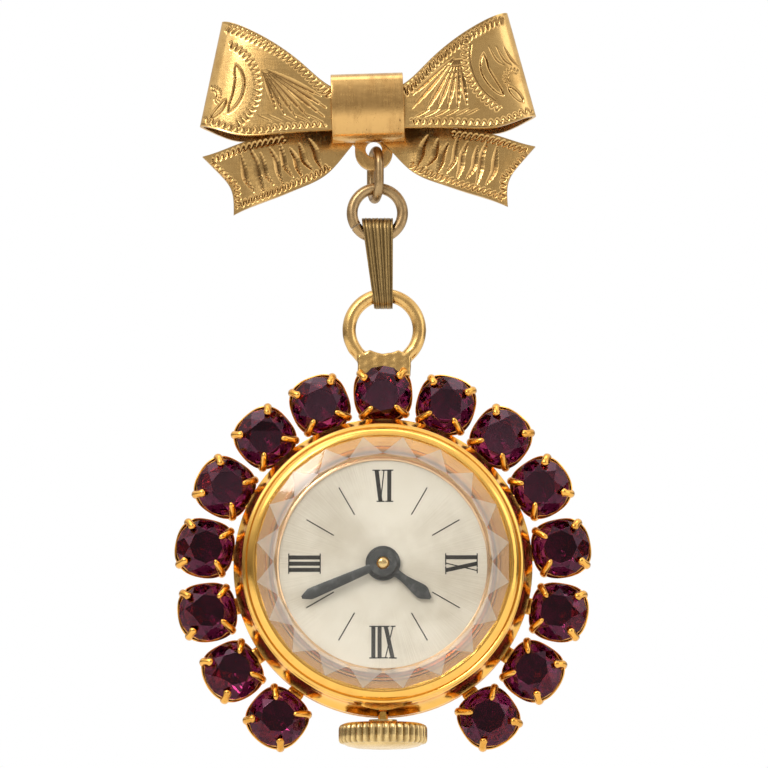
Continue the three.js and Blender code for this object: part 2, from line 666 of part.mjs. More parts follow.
/** The dial, the hands, and the small gears under the dial. */
function display(group) {
  const face = new THREE.Shape().absarc(0, 0, MOVEMENT_RADIUS, 0, 2 * Math.PI, false);
  face.holes.push(hole(0, 0, 0.95));
  piece(group, 'dial', plate(face, -3.2, -2.9, 18), SILVERED);
  const ring = turnedRing([[8.25, -3.3], [8.95, -3.3], [8.6, -3.95]]);
  piece(group, 'dial_ring', ring, GILT);
  const minute = hand({
    length: 6.8, hub: 1.1, bore: 0.5, neck: 0.28, belly: 0.36, low: -4, high: -3.85,
  });
  piece(group, 'minute_hand', pointing(minute, MINUTE_ANGLE), BLACKENED);
  const hour = hand({
    length: 4.56, hub: 1.35, bore: 0.82, neck: 0.3, belly: 0.55, low: -3.66, high: -3.5,
  });
  piece(group, 'hour_hand', pointing(hour, HOUR_ANGLE), BLACKENED);
  const cannon = join(
    turnedRing([[0.25, -4.05], [0.42, -4.05], [0.42, -2.28], [0.25, -2.28]], 14),
    turnedRing([[0.3, -2.55], [0.6, -2.55], [0.6, -2.28], [0.3, -2.28]], 14),
  );
  piece(group, 'cannon_pinion', cannon, STEEL);
  const hourWheel = join(
    cut(plate(toothed(24, 2.15), -2.8, -2.64, 1), post(0.6, -4, 0)),
    turnedRing([[0.52, -3.72], [0.74, -3.72], [0.74, -2.64], [0.52, -2.64]], 14),
  );
  piece(group, 'hour_wheel', hourWheel, MOVEMENT_BRASS);
  const minuteWheel = join(
    plate(toothed(20, 1.85, 2.4, 1), -2.5, -2.34, 1),
    post(0.28, -2.82, -2.4, 2.4, 1, 8),
  );
  piece(group, 'minute_wheel', minuteWheel, MOVEMENT_BRASS);
}

function watch() {
  const group = new THREE.Group();
  group.position.set(WATCH.x, CHAIN_Y, WATCH.z);
  piece(group, 'pendant_ring', pendantRing(), GILT);
  piece(group, 'claw_frame', clawFrame(), GILT);
  for (let number = 1; number <= STONES; number += 1) {
    const index = number - (STONES + 1) / 2;
    const name = `stone_${String(number).padStart(2, '0')}`;
    piece(group, name, atStone(stone(), index), AMETHYST);
  }
  piece(group, 'case_band', caseBand(), GILT);
  piece(group, 'bezel', bezel(), GILT);
  piece(group, 'crystal', crystal(), ACRYLIC);
  piece(group, 'case_back', caseBack(), CHAMPAGNE);
  piece(group, 'winding_stem', windingStem(), STEEL);
  piece(group, 'crown', crown(), CHAMPAGNE);
  display(group);
  movement(group);
  return group;
}

const group = new THREE.Group();
group.add(brooch(), chain(), watch());

export default group;
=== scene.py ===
"""A fob watch on an engraved bow brooch, with its finishes and its studio.

Metres, +Z up, -Y towards the viewer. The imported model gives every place; sizes that only the
looks need are fields of the classes below, in millimetres where their names say so.
"""
import json
import logging
import math
from collections.abc import Sequence
from dataclasses import dataclass, field
from enum import Enum
from typing import ClassVar

import bmesh
import bpy
import numpy as np
from mathutils import Matrix, Vector

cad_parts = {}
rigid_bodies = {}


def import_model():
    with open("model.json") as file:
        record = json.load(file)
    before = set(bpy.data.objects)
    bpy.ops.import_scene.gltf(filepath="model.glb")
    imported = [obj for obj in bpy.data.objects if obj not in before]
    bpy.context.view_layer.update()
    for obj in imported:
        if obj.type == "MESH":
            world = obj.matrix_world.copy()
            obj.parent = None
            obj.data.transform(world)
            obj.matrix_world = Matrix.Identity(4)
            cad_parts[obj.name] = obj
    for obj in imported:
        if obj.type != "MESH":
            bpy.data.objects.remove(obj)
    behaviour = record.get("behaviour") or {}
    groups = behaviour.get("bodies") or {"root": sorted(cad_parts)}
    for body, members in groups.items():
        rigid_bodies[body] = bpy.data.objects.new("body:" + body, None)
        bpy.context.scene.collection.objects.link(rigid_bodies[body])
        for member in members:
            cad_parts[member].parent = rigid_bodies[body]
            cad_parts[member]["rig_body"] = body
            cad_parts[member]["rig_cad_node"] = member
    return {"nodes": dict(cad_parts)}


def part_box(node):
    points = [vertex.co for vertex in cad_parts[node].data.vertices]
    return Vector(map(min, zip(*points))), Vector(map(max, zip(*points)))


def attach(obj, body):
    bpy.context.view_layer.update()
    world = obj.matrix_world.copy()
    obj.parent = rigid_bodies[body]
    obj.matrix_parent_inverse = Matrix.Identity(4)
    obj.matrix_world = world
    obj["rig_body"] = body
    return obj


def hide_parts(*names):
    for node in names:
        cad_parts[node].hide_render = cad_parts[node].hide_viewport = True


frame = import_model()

MM = 0.001
MERGE = 2e-6  # vertices closer than this, in metres, are one vertex
FORWARD = -0.25  # a face whose normal has less Y than this looks forward
BOW_TILT = math.radians(1.8)  # how far the bow has turned on its bar
FACET_SLACK = 2e-5  # how far a facet's corner may lie off its circle, in metres
WIRE_SEAM = 214  # where a wire ring's ends meet, in degrees from the right
LOG = logging.getLogger("fob_watch")

Point = tuple[float, float]
Colour = tuple[float, float, float]
Piece = bpy.types.Object
Socket = bpy.types.NodeSocket


class Axis(Enum):
    """A main direction of the frame, as a unit vector."""

    X = Vector((1, 0, 0))
    Y = Vector((0, 1, 0))
    Z = Vector((0, 0, 1))


class Slot(Enum):
    """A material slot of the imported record."""

    GILT = "gilt"
    OLD_BRASS = "old_brass"
    CHAMPAGNE = "champagne"
    MOVEMENT_BRASS = "movement_brass"
    STEEL = "steel"
    BLACKENED = "blackened_steel"
    SILVERED = "silvered"
    ACRYLIC = "acrylic"
    AMETHYST = "amethyst"


# ------------------------------------------------------------------ places from the frame


def middle(node: str) -> Vector:
    """The middle of a node's box."""
    low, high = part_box(node)
    return (low + high) / 2


def body_of(node: str) -> str:
    """The body that a node belongs to."""
    return frame["nodes"][node]["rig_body"]


def spline(points: Sequence[Point], share: float) -> Vector:
    """A point of the smooth curve through some points.

    Args:
        points: the points that the curve passes through, at even steps.
        share: how far along, from 0 to 1.

    Returns:
        The point, with as many dimensions as the given ones.
    """
    spans = len(points) - 1
    place = min(max(share, 0.0), 1.0) * spans
    start = min(int(place), spans - 1)
    t = place - start
    p0, p1, p2, p3 = (
        Vector(points[min(max(start + step, 0), spans)]) for step in (-1, 0, 1, 2)
    )
    if start == 0:
        p0 = p1
    if start == spans - 1:
        p3 = p2
    v0, v1 = (p2 - p0) / 2, (p3 - p1) / 2
    return (
        (2 * p1 - 2 * p2 + v0 + v1) * t**3
        + (-3 * p1 + 3 * p2 - 2 * v0 - v1) * t**2
        + v0 * t
        + p1
    )


def smooth_line(points: Sequence[Point], count: int) -> list[Vector]:
    """Points at even steps of the smooth curve through some points.

    Args:
        points: the points that the curve passes through.
        count: how many points to give.

    Returns:
        The points, from the first to the last.
    """
    return [spline(points, step / (count - 1)) for step in range(count)]


# ------------------------------------------------------------------ the bench


class Bench:
    """Modelling steps that every sub-assembly uses, made with Blender's operators."""

    @staticmethod
    def clear() -> None:
        """Leave edit mode and select nothing."""
        if bpy.context.object and bpy.context.object.mode != "OBJECT":
            bpy.ops.object.mode_set(mode="OBJECT")
        bpy.ops.object.select_all(action="DESELECT")

    @staticmethod
    def pick(piece: Piece) -> None:
        """Select one piece alone and make it active."""
        Bench.clear()
        piece.select_set(True)
        bpy.context.view_layer.objects.active = piece

    @staticmethod
    def edit(piece: Piece, mode: str = "VERT") -> None:
        """Open a piece in edit mode with nothing selected.

        Args:
            piece: the piece.
            mode: VERT, EDGE or FACE, for what is to be selected.
        """
        Bench.pick(piece)
        bpy.ops.object.mode_set(mode="EDIT")
        bpy.ops.mesh.select_mode(type=mode)
        bpy.ops.mesh.select_all(action="DESELECT")

    @staticmethod
    def edit_all(piece: Piece) -> None:
        """Open a piece in edit mode with everything selected."""
        Bench.edit(piece)
        bpy.ops.mesh.select_all(action="SELECT")

    @staticmethod
    def close(piece: Piece) -> Piece:
        """Merge doubles, turn the faces outwards and leave edit mode.

        Args:
            piece: the piece, in either mode.

        Returns:
            The same piece.
        """
        if piece.mode != "EDIT":
            Bench.edit(piece)
        bpy.ops.mesh.select_all(action="SELECT")
        bpy.ops.mesh.remove_doubles(threshold=MERGE)
        bpy.ops.mesh.normals_make_consistent(inside=False)
        bpy.ops.object.mode_set(mode="OBJECT")
        return piece

    @staticmethod
    def named(name: str) -> Piece:
        """Name the active object and its mesh."""
        piece = bpy.context.object
        piece.name = piece.data.name = name
        return piece

    @staticmethod
    def modify(piece: Piece, kind: str, **settings: object) -> Piece:
        """Add a modifier and apply it.

        Args:
            piece: the object to change.
            kind: Blender's name for the modifier's type.
            settings: the modifier's own settings.

        Returns:
            The same object.
        """
        Bench.pick(piece)
        modifier = piece.modifiers.new(kind.lower(), kind)
        for key, value in settings.items():
            setattr(modifier, key, value)
        bpy.ops.object.modifier_apply(modifier=modifier.name)
        return piece

    @staticmethod
    def start_vertex(name: str, place: Vector) -> Piece:
        """A new object in edit mode whose only vertex is at a place.

        Args:
            name: its name.
            place: the place, in metres.

        Returns:
            The object.
        """
        Bench.clear()
        bpy.ops.mesh.primitive_plane_add(size=MM)
        piece = Bench.named(name)
        Bench.edit_all(piece)
        bpy.ops.mesh.merge(type="CENTER")
        bpy.ops.transform.translate(value=place)
        return piece

    @staticmethod
    def draw(name: str, places: Sequence[Vector]) -> Piece:
        """A chain of edges through some places, extruded vertex by vertex, left in edit mode.

        Args:
            name: its name.
            places: the places, in metres.

        Returns:
            The chain.
        """
        piece = Bench.start_vertex(name, places[0])
        for before, after in zip(places, places[1:]):
            bpy.ops.mesh.extrude_vertices_move(
                TRANSFORM_OT_translate={"value": after - before}
            )
        return piece

    @staticmethod
    def turn(
        name: str,
        profile: Sequence[Point],
        centre: Vector,
        steps: int = 96,
        axis: Axis = Axis.Y,
        ring: bool = True,
    ) -> Piece:
        """A turned piece: a profile spun right round an axis.

        Args:
            name: the piece's name.
            profile: [radius, place along the axis] corners, in millimetres.
            centre: a point of the axis, in metres.
            steps: how many steps make the full turn.
            axis: the direction of the axis.
            ring: whether the profile closes on itself; otherwise it ends on the axis.

        Returns:
            The piece, closed, with its faces outwards.
        """
        corners = [*profile, profile[0]] if ring else list(profile)
        outwards = Axis.Z.value if axis is Axis.X else Axis.X.value
        places = [
            centre + MM * (outwards * radius + axis.value * along) for radius, along in corners
        ]
        piece = Bench.draw(name, places)
        bpy.ops.mesh.select_all(action="SELECT")
        bpy.ops.mesh.spin(steps=steps, angle=2 * math.pi, center=centre, axis=axis.value)
        return Bench.close(piece)

    @staticmethod
    def sheet(name: str, stations: Sequence[Sequence[Vector]]) -> Piece:
        """A sheet: a chain of edges, extruded from station to station.

        Args:
            name: the piece's name.
            stations: for each station, the places of the chain's vertices.

        Returns:
            The open sheet, in object mode.
        """
        piece = Bench.draw(name, stations[0])
        bpy.ops.mesh.select_all(action="SELECT")
        for before, after in zip(stations, stations[1:]):
            move = after[0] - before[0]
            bpy.ops.mesh.extrude_region_move(TRANSFORM_OT_translate={"value": move})
            form = bmesh.from_edit_mesh(piece.data)
            fresh = [vertex for vertex in form.verts if vertex.select]
            for place, target in zip(before, after):
                moved = place + move
                vertex = min(fresh, key=lambda each: (each.co - moved).length_squared)
                vertex.co = target
                fresh.remove(vertex)
            bmesh.update_edit_mesh(piece.data)
        bpy.ops.object.mode_set(mode="OBJECT")
        return piece

    @staticmethod
    def wire(
        name: str, centre: Vector, radius: float, thickness: float, gap: float = 0.0
    ) -> Piece:
        """A ring of round wire in the X-Z plane, with a gap where its ends meet.

        Args:
            name: the piece's name.
            centre: the ring's centre, in metres.
            radius: radius of the wire's centre line, in millimetres.
            thickness: half the wire's thickness, in millimetres.
            gap: angle of the gap, in radians, at the lower left; 0 closes the ring.

        Returns:
            The ring.
        """
        Bench.clear()
        seam = math.radians(WIRE_SEAM)
        out = Vector((math.cos(seam), 0, math.sin(seam)))
        bpy.ops.mesh.primitive_circle_add(
            vertices=20,
            radius=thickness * MM,
            fill_type="NGON" if gap else "NOTHING",
            rotation=(0, -seam, 0),
        )
        piece = Bench.named(name)
        bpy.ops.object.transform_apply(location=True, rotation=True, scale=True)
        Bench.edit_all(piece)
        bpy.ops.transform.translate(value=centre + out * radius * MM)
        bpy.ops.mesh.spin(
            steps=96, angle=2 * math.pi - gap, center=centre, axis=Axis.Y.value
        )
        return Bench.close(piece)

    @staticmethod
    def smooth(piece: Piece, degrees: float = 32) -> Piece:
        """Shade a piece smooth, apart from its edges sharper than an angle."""
        Bench.pick(piece)
        bpy.ops.object.shade_smooth_by_angle(angle=math.radians(degrees))
        return piece

    @staticmethod
    def copy(piece: Piece, name: str, place: Matrix) -> Piece:
        """A copy with its own mesh, moved by a matrix that goes into the mesh.

        Args:
            piece: the piece to copy.
            name: the copy's name.
            place: the matrix.

        Returns:
            The copy.
        """
        twin = piece.copy()
        twin.data = piece.data.copy()
        twin.name = twin.data.name = name
        twin.data.transform(place)
        bpy.context.scene.collection.objects.link(twin)
        return twin

    @staticmethod
    def join(name: str, pieces: Sequence[Piece]) -> Piece:
        """Make several objects one.

        Args:
            name: the new object's name.
            pieces: the objects, which are used up.

        Returns:
            The object.
        """
        Bench.clear()
        for piece in pieces:
            piece.select_set(True)
        bpy.context.view_layer.objects.active = pieces[0]
        bpy.ops.object.join()
        return Bench.named(name)

    @staticmethod
    def carve(
        piece: Piece, tool: Piece, operation: str = "DIFFERENCE"
    ) -> Piece:
        """Cut or join a piece with a tool, which is used up.

        Args:
            piece: the piece.
            tool: the closed shape that cuts it or joins it.
            operation: DIFFERENCE or UNION.

        Returns:
            The same piece.
        """
        Bench.modify(piece, "BOOLEAN", object=tool, operation=operation, solver="EXACT")
        bpy.data.objects.remove(tool)
        return piece

    @staticmethod
    def from_node(node: str, name: str, round_mm: float) -> Piece:
        """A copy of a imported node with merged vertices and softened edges.

        Args:
            node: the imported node.
            name: the new piece's name.
            round_mm: width of the bevel on its sharp edges, in millimetres.

        Returns:
            The copy.
        """
        piece = Bench.copy(frame["nodes"][node], name, Matrix.Identity(4))
        piece.parent = None
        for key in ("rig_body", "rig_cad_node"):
            del piece[key]
        piece.data.materials.clear()
        Bench.edit_all(piece)
        bpy.ops.mesh.remove_doubles(threshold=MERGE)
        bpy.ops.mesh.dissolve_limited(angle_limit=math.radians(1))
        bpy.ops.object.mode_set(mode="OBJECT")
        Bench.modify(
            piece, "BEVEL", width=round_mm * MM, segments=3, limit_method="ANGLE",
            angle_limit=math.radians(40), use_clamp_overlap=True,
        )
        return Bench.smooth(piece, 50)

    @staticmethod
    def places(piece: Piece) -> np.ndarray:
        """The places of a piece's vertices, one row each."""
        flat = np.zeros(len(piece.data.vertices) * 3)
        piece.data.vertices.foreach_get("co", flat)
        return flat.reshape(-1, 3)

    @staticmethod
    def normals(piece: Piece) -> np.ndarray:
        """The normals of a piece's vertices, one row each."""
        flat = np.zeros(len(piece.data.vertices) * 3)
        piece.data.vertices.foreach_get("normal", flat)
        return flat.reshape(-1, 3)

    @staticmethod
    def put(piece: Piece, places: np.ndarray) -> None:
        """Give a piece's vertices new places."""
        piece.data.vertices.foreach_set("co", places.ravel())
        piece.data.update()

    @staticmethod
    def mark_cuts(piece: Piece, share: np.ndarray) -> None:
        """Keep how deep each vertex lies in a cut, for the finishes that paint shade into their cuts."""
        layer = piece.data.attributes.new("cut", "FLOAT", "POINT")
        layer.data.foreach_set("value", share.astype(np.float32))

    @staticmethod
    def block(name: str, size: Sequence[float], place: Vector, cuts: int = 0) -> Piece:
        """A rectangular block.

        Args:
            name: the piece's name.
            size: its sides, in millimetres.
            place: its centre, in metres.
            cuts: how many cuts go across each side.

        Returns:
            The block, in object mode.
        """
        Bench.clear()
        bpy.ops.mesh.primitive_cube_add(size=MM)
        piece = Bench.named(name)
        Bench.edit_all(piece)
        if cuts:
            bpy.ops.mesh.subdivide(number_cuts=cuts)
        bpy.ops.transform.resize(value=size)
        bpy.ops.transform.translate(value=place)
        bpy.ops.object.mode_set(mode="OBJECT")
        return piece

    @staticmethod
    def hull(name: str, rings: Sequence[tuple[int, float, float, float]], centre: Vector) -> Piece:
        """The convex solid round some rings of points about an axis along Y.

        Args:
            name: the piece's name.
            rings: for each ring its count of points, its radius and its place along the axis,
                in millimetres, and its turn in degrees.
            centre: a point of the axis, in metres.

        Returns:
            The solid, in edit mode with its faces selected.
        """
        Bench.clear()
        parts = []
        for corners, radius, depth, turn in rings:
            bpy.ops.mesh.primitive_circle_add(
                vertices=corners, radius=radius * MM,
                location=centre + Vector((0, depth * MM, 0)),
                rotation=(math.pi / 2, math.radians(turn), 0),
            )
            parts.append(bpy.context.object)
        piece = Bench.join(name, parts)
        bpy.ops.object.transform_apply(location=True, rotation=True, scale=True)
        Bench.edit_all(piece)
        bpy.ops.mesh.convex_hull()
        return piece

    @staticmethod
    def fit(piece: Piece, finish: "Finish", slot: Slot, node: str = "", body: str = "") -> Piece:
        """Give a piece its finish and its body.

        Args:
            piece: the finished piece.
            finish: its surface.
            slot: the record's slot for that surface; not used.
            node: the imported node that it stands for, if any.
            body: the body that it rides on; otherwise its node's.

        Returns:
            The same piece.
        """
        body = body or body_of(node)
        piece.data.materials.clear()
        piece.data.materials.append(finish.material())
        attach(piece, body)
        if node:
            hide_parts(node)
        LOG.info("%s: %d faces, rides on %s", piece.name, len(piece.data.polygons), body)
        return piece


# ------------------------------------------------------------------ finishes


class Tree:
    """A node tree being wired, with a short way to add and link its nodes."""

    def __init__(self, tree: bpy.types.NodeTree) -> None:
        """Keep the tree."""
        self.tree = tree

    def add(self, kind: str, **settings: object) -> bpy.types.Node:
        """Add a node.

        Args:
            kind: the node's type without its ShaderNode prefix.
            settings: properties of the node.

        Returns:
            The new node.
        """
        node = self.tree.nodes.new("ShaderNode" + kind)
        for key, value in settings.items():
            setattr(node, key, value)
        return node

    def feed(self, node: bpy.types.Node, **inputs: object) -> bpy.types.Node:
        """Set or link a node's inputs.

        Args:
            node: the node.
            inputs: a value or a socket for each input, which is named with _ for a space, or
                by n and its number.

        Returns:
            The same node.
        """
        for key, value in inputs.items():
            by_number = key[1:].isdigit()
            socket = node.inputs[int(key[1:]) if by_number else key.replace("_", " ")]
            if isinstance(value, Socket):
                self.tree.links.new(value, socket)
            else:
                socket.default_value = value
        return node

    def math(self, operation: str, first: object, second: object = 0.0) -> Socket:
        """One step of arithmetic."""
        node = self.add("Math", operation=operation)
        self.feed(node, n0=first, n1=second)
        return node.outputs[0]

    def blend(self, share: object, first: object, second: object) -> Socket:
        """A colour between two colours."""
        node = self.add("Mix", data_type="RGBA", clamp_factor=True)
        self.feed(node, n0=share, n6=first, n7=second)
        return node.outputs[2]

    def spread(
        self, value: object, low: float, high: float, to_low: float = 0.0, to_high: float = 1.0
    ) -> Socket:
        """A value moved smoothly from one range to another.

        Args:
            value: the value.
            low: the start of its range.
            high: the end of its range.
            to_low: what the start becomes.
            to_high: what the end becomes.

        Returns:
            The socket of the moved value.
        """
        node = self.add("MapRange", interpolation_type="SMOOTHSTEP")
        self.feed(node, n0=value, n1=low, n2=high, n3=to_low, n4=to_high)
        return node.outputs[0]

    def noise(
        self, place: object, scale: float, detail: float = 3.0, rough: float = 0.55
    ) -> Socket:
        """A smooth noise value.

        Args:
            place: where to read it.
            scale: features per millimetre.
            detail: how many finer layers are laid over it.
            rough: how strong the finer layers are.

        Returns:
            The socket of the value, from 0 to 1.
        """
        node = self.add("TexNoise")
        self.feed(node, Vector=place, Scale=scale / MM, Detail=detail, Roughness=rough)
        return node.outputs["Fac"]

    def stretched(self, place: object, scale: Sequence[float]) -> Socket:
        """A place whose pattern is drawn out along an axis."""
        node = self.add("Mapping")
        self.feed(node, Vector=place, Scale=tuple(scale))
        return node.outputs[0]


def rgba(colour: Colour) -> tuple[float, float, float, float]:
    """A colour with full opacity."""
    return (*colour, 1.0)


class SharedGroups:
    """Shader groups that several finishes use, each made once."""

    _made: dict[str, bpy.types.NodeTree] = {}

    @classmethod
    def _new(
        cls, name: str, inputs: dict[str, str], outputs: dict[str, str]
    ) -> tuple[Tree, bpy.types.Node, bpy.types.Node]:
        """Make an empty group.

        Args:
            name: the group's name.
            inputs: the kind of each input, by its label.
            outputs: the kind of each output, by its label.

        Returns:
            The group's tree, its input node and its output node.
        """
        group = bpy.data.node_groups.new(name, "ShaderNodeTree")
        for direction, sockets in (("INPUT", inputs), ("OUTPUT", outputs)):
            for label, kind in sockets.items():
                group.interface.new_socket(
                    label, in_out=direction, socket_type="NodeSocket" + kind
                )
        tree = Tree(group)
        cls._made[name] = group
        return tree, group.nodes.new("NodeGroupInput"), group.nodes.new("NodeGroupOutput")

    @classmethod
    def aged_metal(cls) -> bpy.types.NodeTree:
        """Metal with dull patches, rubbed spots, painted shade in its cuts and fine scratches."""
        name = "aged_metal"
        if name in cls._made:
            return cls._made[name]
        tree, given, result = cls._new(
            name,
            {
                "Place": "Vector", "Metal": "Color", "Dull": "Color", "Dark": "Color",
                "Cut": "Float", "Patches": "Float", "Roughness": "Float", "Spread": "Float",
            },
            {"Colour": "Color", "Roughness": "Float", "Height": "Float"},
        )
        place = given.outputs["Place"]
        patch = tree.noise(place, 0.55, 4.0, 0.6)
        cloud = tree.spread(patch, 0.42, 0.68)
        dulled = tree.math("MULTIPLY", cloud, given.outputs["Patches"])
        colour = tree.blend(dulled, given.outputs["Metal"], given.outputs["Dull"])
        speck = tree.spread(tree.noise(place, 5.0, 2.0), 0.68, 0.75)
        speck = tree.math("MULTIPLY", speck, given.outputs["Patches"])
        # The cuts take the dark colour as painted shade; the specks are dark spots of wear.
        specks_and_cut_shade = tree.math("MAXIMUM", given.outputs["Cut"], speck)
        colour = tree.blend(specks_and_cut_shade, colour, given.outputs["Dark"])
        scratch = tree.noise(tree.stretched(place, (1.0, 1.0, 0.16)), 9.0, 2.0)
        cross = tree.noise(tree.stretched(place, (0.12, 1.0, 1.0)), 7.0, 2.0)
        fine = tree.math("ADD", scratch, cross)
        rough = tree.math("MULTIPLY", tree.math("SUBTRACT", fine, 1.0), given.outputs["Spread"])
        rough = tree.math("ADD", given.outputs["Roughness"], rough)
        rough = tree.math("ADD", rough, tree.math("MULTIPLY", dulled, 0.12))
        rough = tree.math("ADD", rough, tree.math("MULTIPLY", speck, 0.15))
        height = tree.math("ADD", tree.math("MULTIPLY", fine, 0.35), tree.noise(place, 1.3, 3.0))
        tree.feed(result, Colour=colour, Roughness=rough, Height=height)
        return cls._made[name]

    @classmethod
    def sunray(cls) -> bpy.types.NodeTree:
        """Fine rays from a centre in the X-Z plane, as on a brushed dial, and a painted sheen that rises
        and falls twice round the centre.
        """
        name = "sunray"
        if name in cls._made:
            return cls._made[name]
        tree, given, result = cls._new(
            name, {"Place": "Vector", "Count": "Float"}, {"Ray": "Float", "Lobe": "Float"}
        )
        parts = tree.add("SeparateXYZ")
        tree.feed(parts, Vector=given.outputs["Place"])
        angle = tree.math("ARCTAN2", parts.outputs[2], parts.outputs[0])
        rays = tree.add("TexNoise", noise_dimensions="1D")
        tree.feed(rays, W=tree.math("MULTIPLY", angle, given.outputs["Count"]), Scale=1.0, Detail=2.0)
        # painted sheen: a bow-tie of two lighter and two darker sectors
        turn = tree.math("ADD", tree.math("MULTIPLY", angle, 2.0), 0.7)
        tree.feed(result, Ray=rays.outputs["Fac"], Lobe=tree.math("COSINE", turn))
        return cls._made[name]


def new_material(name: str) -> tuple[bpy.types.Material, Tree, bpy.types.Node, Socket]:
    """A new material.

    Args:
        name: the material's name.

    Returns:
        The material, its tree, its Principled node and the socket of its object coordinates.
    """
    material = bpy.data.materials.new(name)
    material.use_nodes = True
    tree = Tree(material.node_tree)
    principled = material.node_tree.nodes["Principled BSDF"]
    return material, tree, principled, tree.add("TexCoord").outputs["Object"]


@dataclass(frozen=True)
class Finish:
    """What every finish shares: a name, and a material that is made on first use."""

    made: ClassVar[dict[str, bpy.types.Material]] = {}

    name: str

    def material(self) -> bpy.types.Material:
        """The finish's material."""
        if self.name not in self.made:
            material, tree, shader, place = new_material(self.name)
            self.made[self.name] = material
            self.wire(tree, shader, place)
        return self.made[self.name]

    def wire(self, tree: Tree, shader: bpy.types.Node, place: Socket) -> None:
        """Wire the finish's own nodes to its Principled node.

        Args:
            tree: the material's tree.
            shader: its Principled node.
            place: the socket of its object coordinates.
        """
        raise NotImplementedError


@dataclass(frozen=True)
class MetalFinish(Finish):
    """A plated or polished metal, with its wear and the painted shade in its cuts."""

    metal: Colour
    dull: Colour
    dark: Colour
    roughness: float
    spread: float = 0.1
    patches: float = 0.5
    bump: float = 0.12
    grain: tuple[float, float, float] = (1.0, 1.0, 1.0)
    # whether the cut attribute darkens the colour, as painted shade in the cuts
    has_cuts: bool = False

    def wire(self, tree: Tree, shader: bpy.types.Node, place: Socket) -> None:
        """Wire the finish's own nodes."""
        wear = tree.add("Group", node_tree=SharedGroups.aged_metal())
        cut: object = 0.0
        if self.has_cuts:
            cut = tree.add("Attribute", attribute_name="cut").outputs["Fac"]
        tree.feed(
            wear, Place=tree.stretched(place, self.grain), Metal=rgba(self.metal),
            Dull=rgba(self.dull), Dark=rgba(self.dark), Cut=cut, Patches=self.patches,
            Roughness=self.roughness, Spread=self.spread,
        )
        bump = tree.add("Bump")
        tree.feed(bump, Height=wear.outputs["Height"], Strength=self.bump, Distance=0.02 * MM)
        tree.feed(
            shader, Base_Color=wear.outputs["Colour"], Metallic=1.0,
            Roughness=wear.outputs["Roughness"], Normal=bump.outputs[0],
        )


@dataclass(frozen=True)
class GlassFinish(Finish):
    """A clear or coloured glass or acrylic."""

    tint: Colour
    streak: Colour
    ior: float
    roughness: float
    bump: float = 0.0
    clear: float = 1.0
    lets_light: bool = False
    sheen: Colour = (1.0, 1.0, 1.0)

    def wire(self, tree: Tree, shader: bpy.types.Node, place: Socket) -> None:
        """Wire the finish's own nodes."""
        cloud = tree.spread(tree.noise(place, 0.8, 2.0), 0.3, 0.7)
        tree.feed(
            shader, Base_Color=tree.blend(cloud, rgba(self.tint), rgba(self.streak)),
            Metallic=0.0, Roughness=self.roughness, IOR=self.ior, Transmission_Weight=self.clear,
            Specular_Tint=rgba(self.sheen),
        )
        if self.bump:
            scratch = tree.noise(tree.stretched(place, (1.0, 1.0, 0.1)), 6.0, 2.0)
            bump = tree.add("Bump")
            tree.feed(bump, Height=scratch, Strength=self.bump, Distance=0.01 * MM)
            tree.feed(shader, Normal=bump.outputs[0])
        if self.lets_light:
            through, mix = tree.add("BsdfTransparent"), tree.add("MixShader")
            tree.feed(through, Color=rgba((0.95, 0.94, 0.92)))
            shadow = tree.add("LightPath").outputs["Is Shadow Ray"]
            tree.feed(mix, n0=shadow, n1=shader.outputs[0], n2=through.outputs[0])
            tree.feed(tree.tree.nodes["Material Output"], n0=mix.outputs[0])


@dataclass(frozen=True)
class DialFinish(Finish):
    """A silvered dial, brushed in rays from its centre, with a painted bow-tie sheen."""

    centre: Vector
    pale: Colour = (0.76, 0.735, 0.655)
    deep: Colour = (0.54, 0.50, 0.415)

    def wire(self, tree: Tree, shader: bpy.types.Node, place: Socket) -> None:
        """Wire the finish's own nodes."""
        centred = tree.add("Mapping", vector_type="POINT")
        tree.feed(centred, Vector=place, Location=tuple(-self.centre))
        rays = tree.add("Group", node_tree=SharedGroups.sunray())
        tree.feed(rays, Place=centred.outputs[0], Count=90.0)
        shade = tree.math("MULTIPLY", tree.math("SUBTRACT", rays.outputs["Ray"], 0.5), 0.9)
        # painted sheen: two opposite sectors of the dial lighter, the two between darker
        painted_sheen = tree.math("MULTIPLY", rays.outputs["Lobe"], 0.3)
        stain = tree.spread(tree.noise(place, 0.25, 4.0), 0.35, 0.75)
        share = tree.math("ADD", tree.math("ADD", shade, painted_sheen), tree.math("MULTIPLY", stain, 0.6))
        bump = tree.add("Bump")
        tree.feed(bump, Height=rays.outputs["Ray"], Strength=0.25, Distance=0.02 * MM)
        tree.feed(
            shader, Base_Color=tree.blend(share, rgba(self.pale), rgba(self.deep)), Metallic=0.35,
            Roughness=tree.math("ADD", 0.42, tree.math("MULTIPLY", rays.outputs["Ray"], 0.15)),
            Normal=bump.outputs[0],
        )


@dataclass(frozen=True)
class PaintFinish(Finish):
    """Printed ink or a blackened surface, with a trace of grain."""

    colour: Colour
    rubbed: Colour
    roughness: float = 0.4
    metallic: float = 0.0

    def wire(self, tree: Tree, shader: bpy.types.Node, place: Socket) -> None:
        """Wire the finish's own nodes."""
        rub = tree.spread(tree.noise(place, 2.2, 4.0), 0.45, 0.8)
        grain = tree.noise(place, 12.0, 2.0)
        bump = tree.add("Bump")
        tree.feed(bump, Height=grain, Strength=0.15, Distance=0.01 * MM)
        tree.feed(
            shader, Base_Color=tree.blend(rub, rgba(self.colour), rgba(self.rubbed)),
            Metallic=self.metallic, Normal=bump.outputs[0],
            Roughness=tree.math("ADD", self.roughness, tree.math("MULTIPLY", grain, 0.2)),
        )


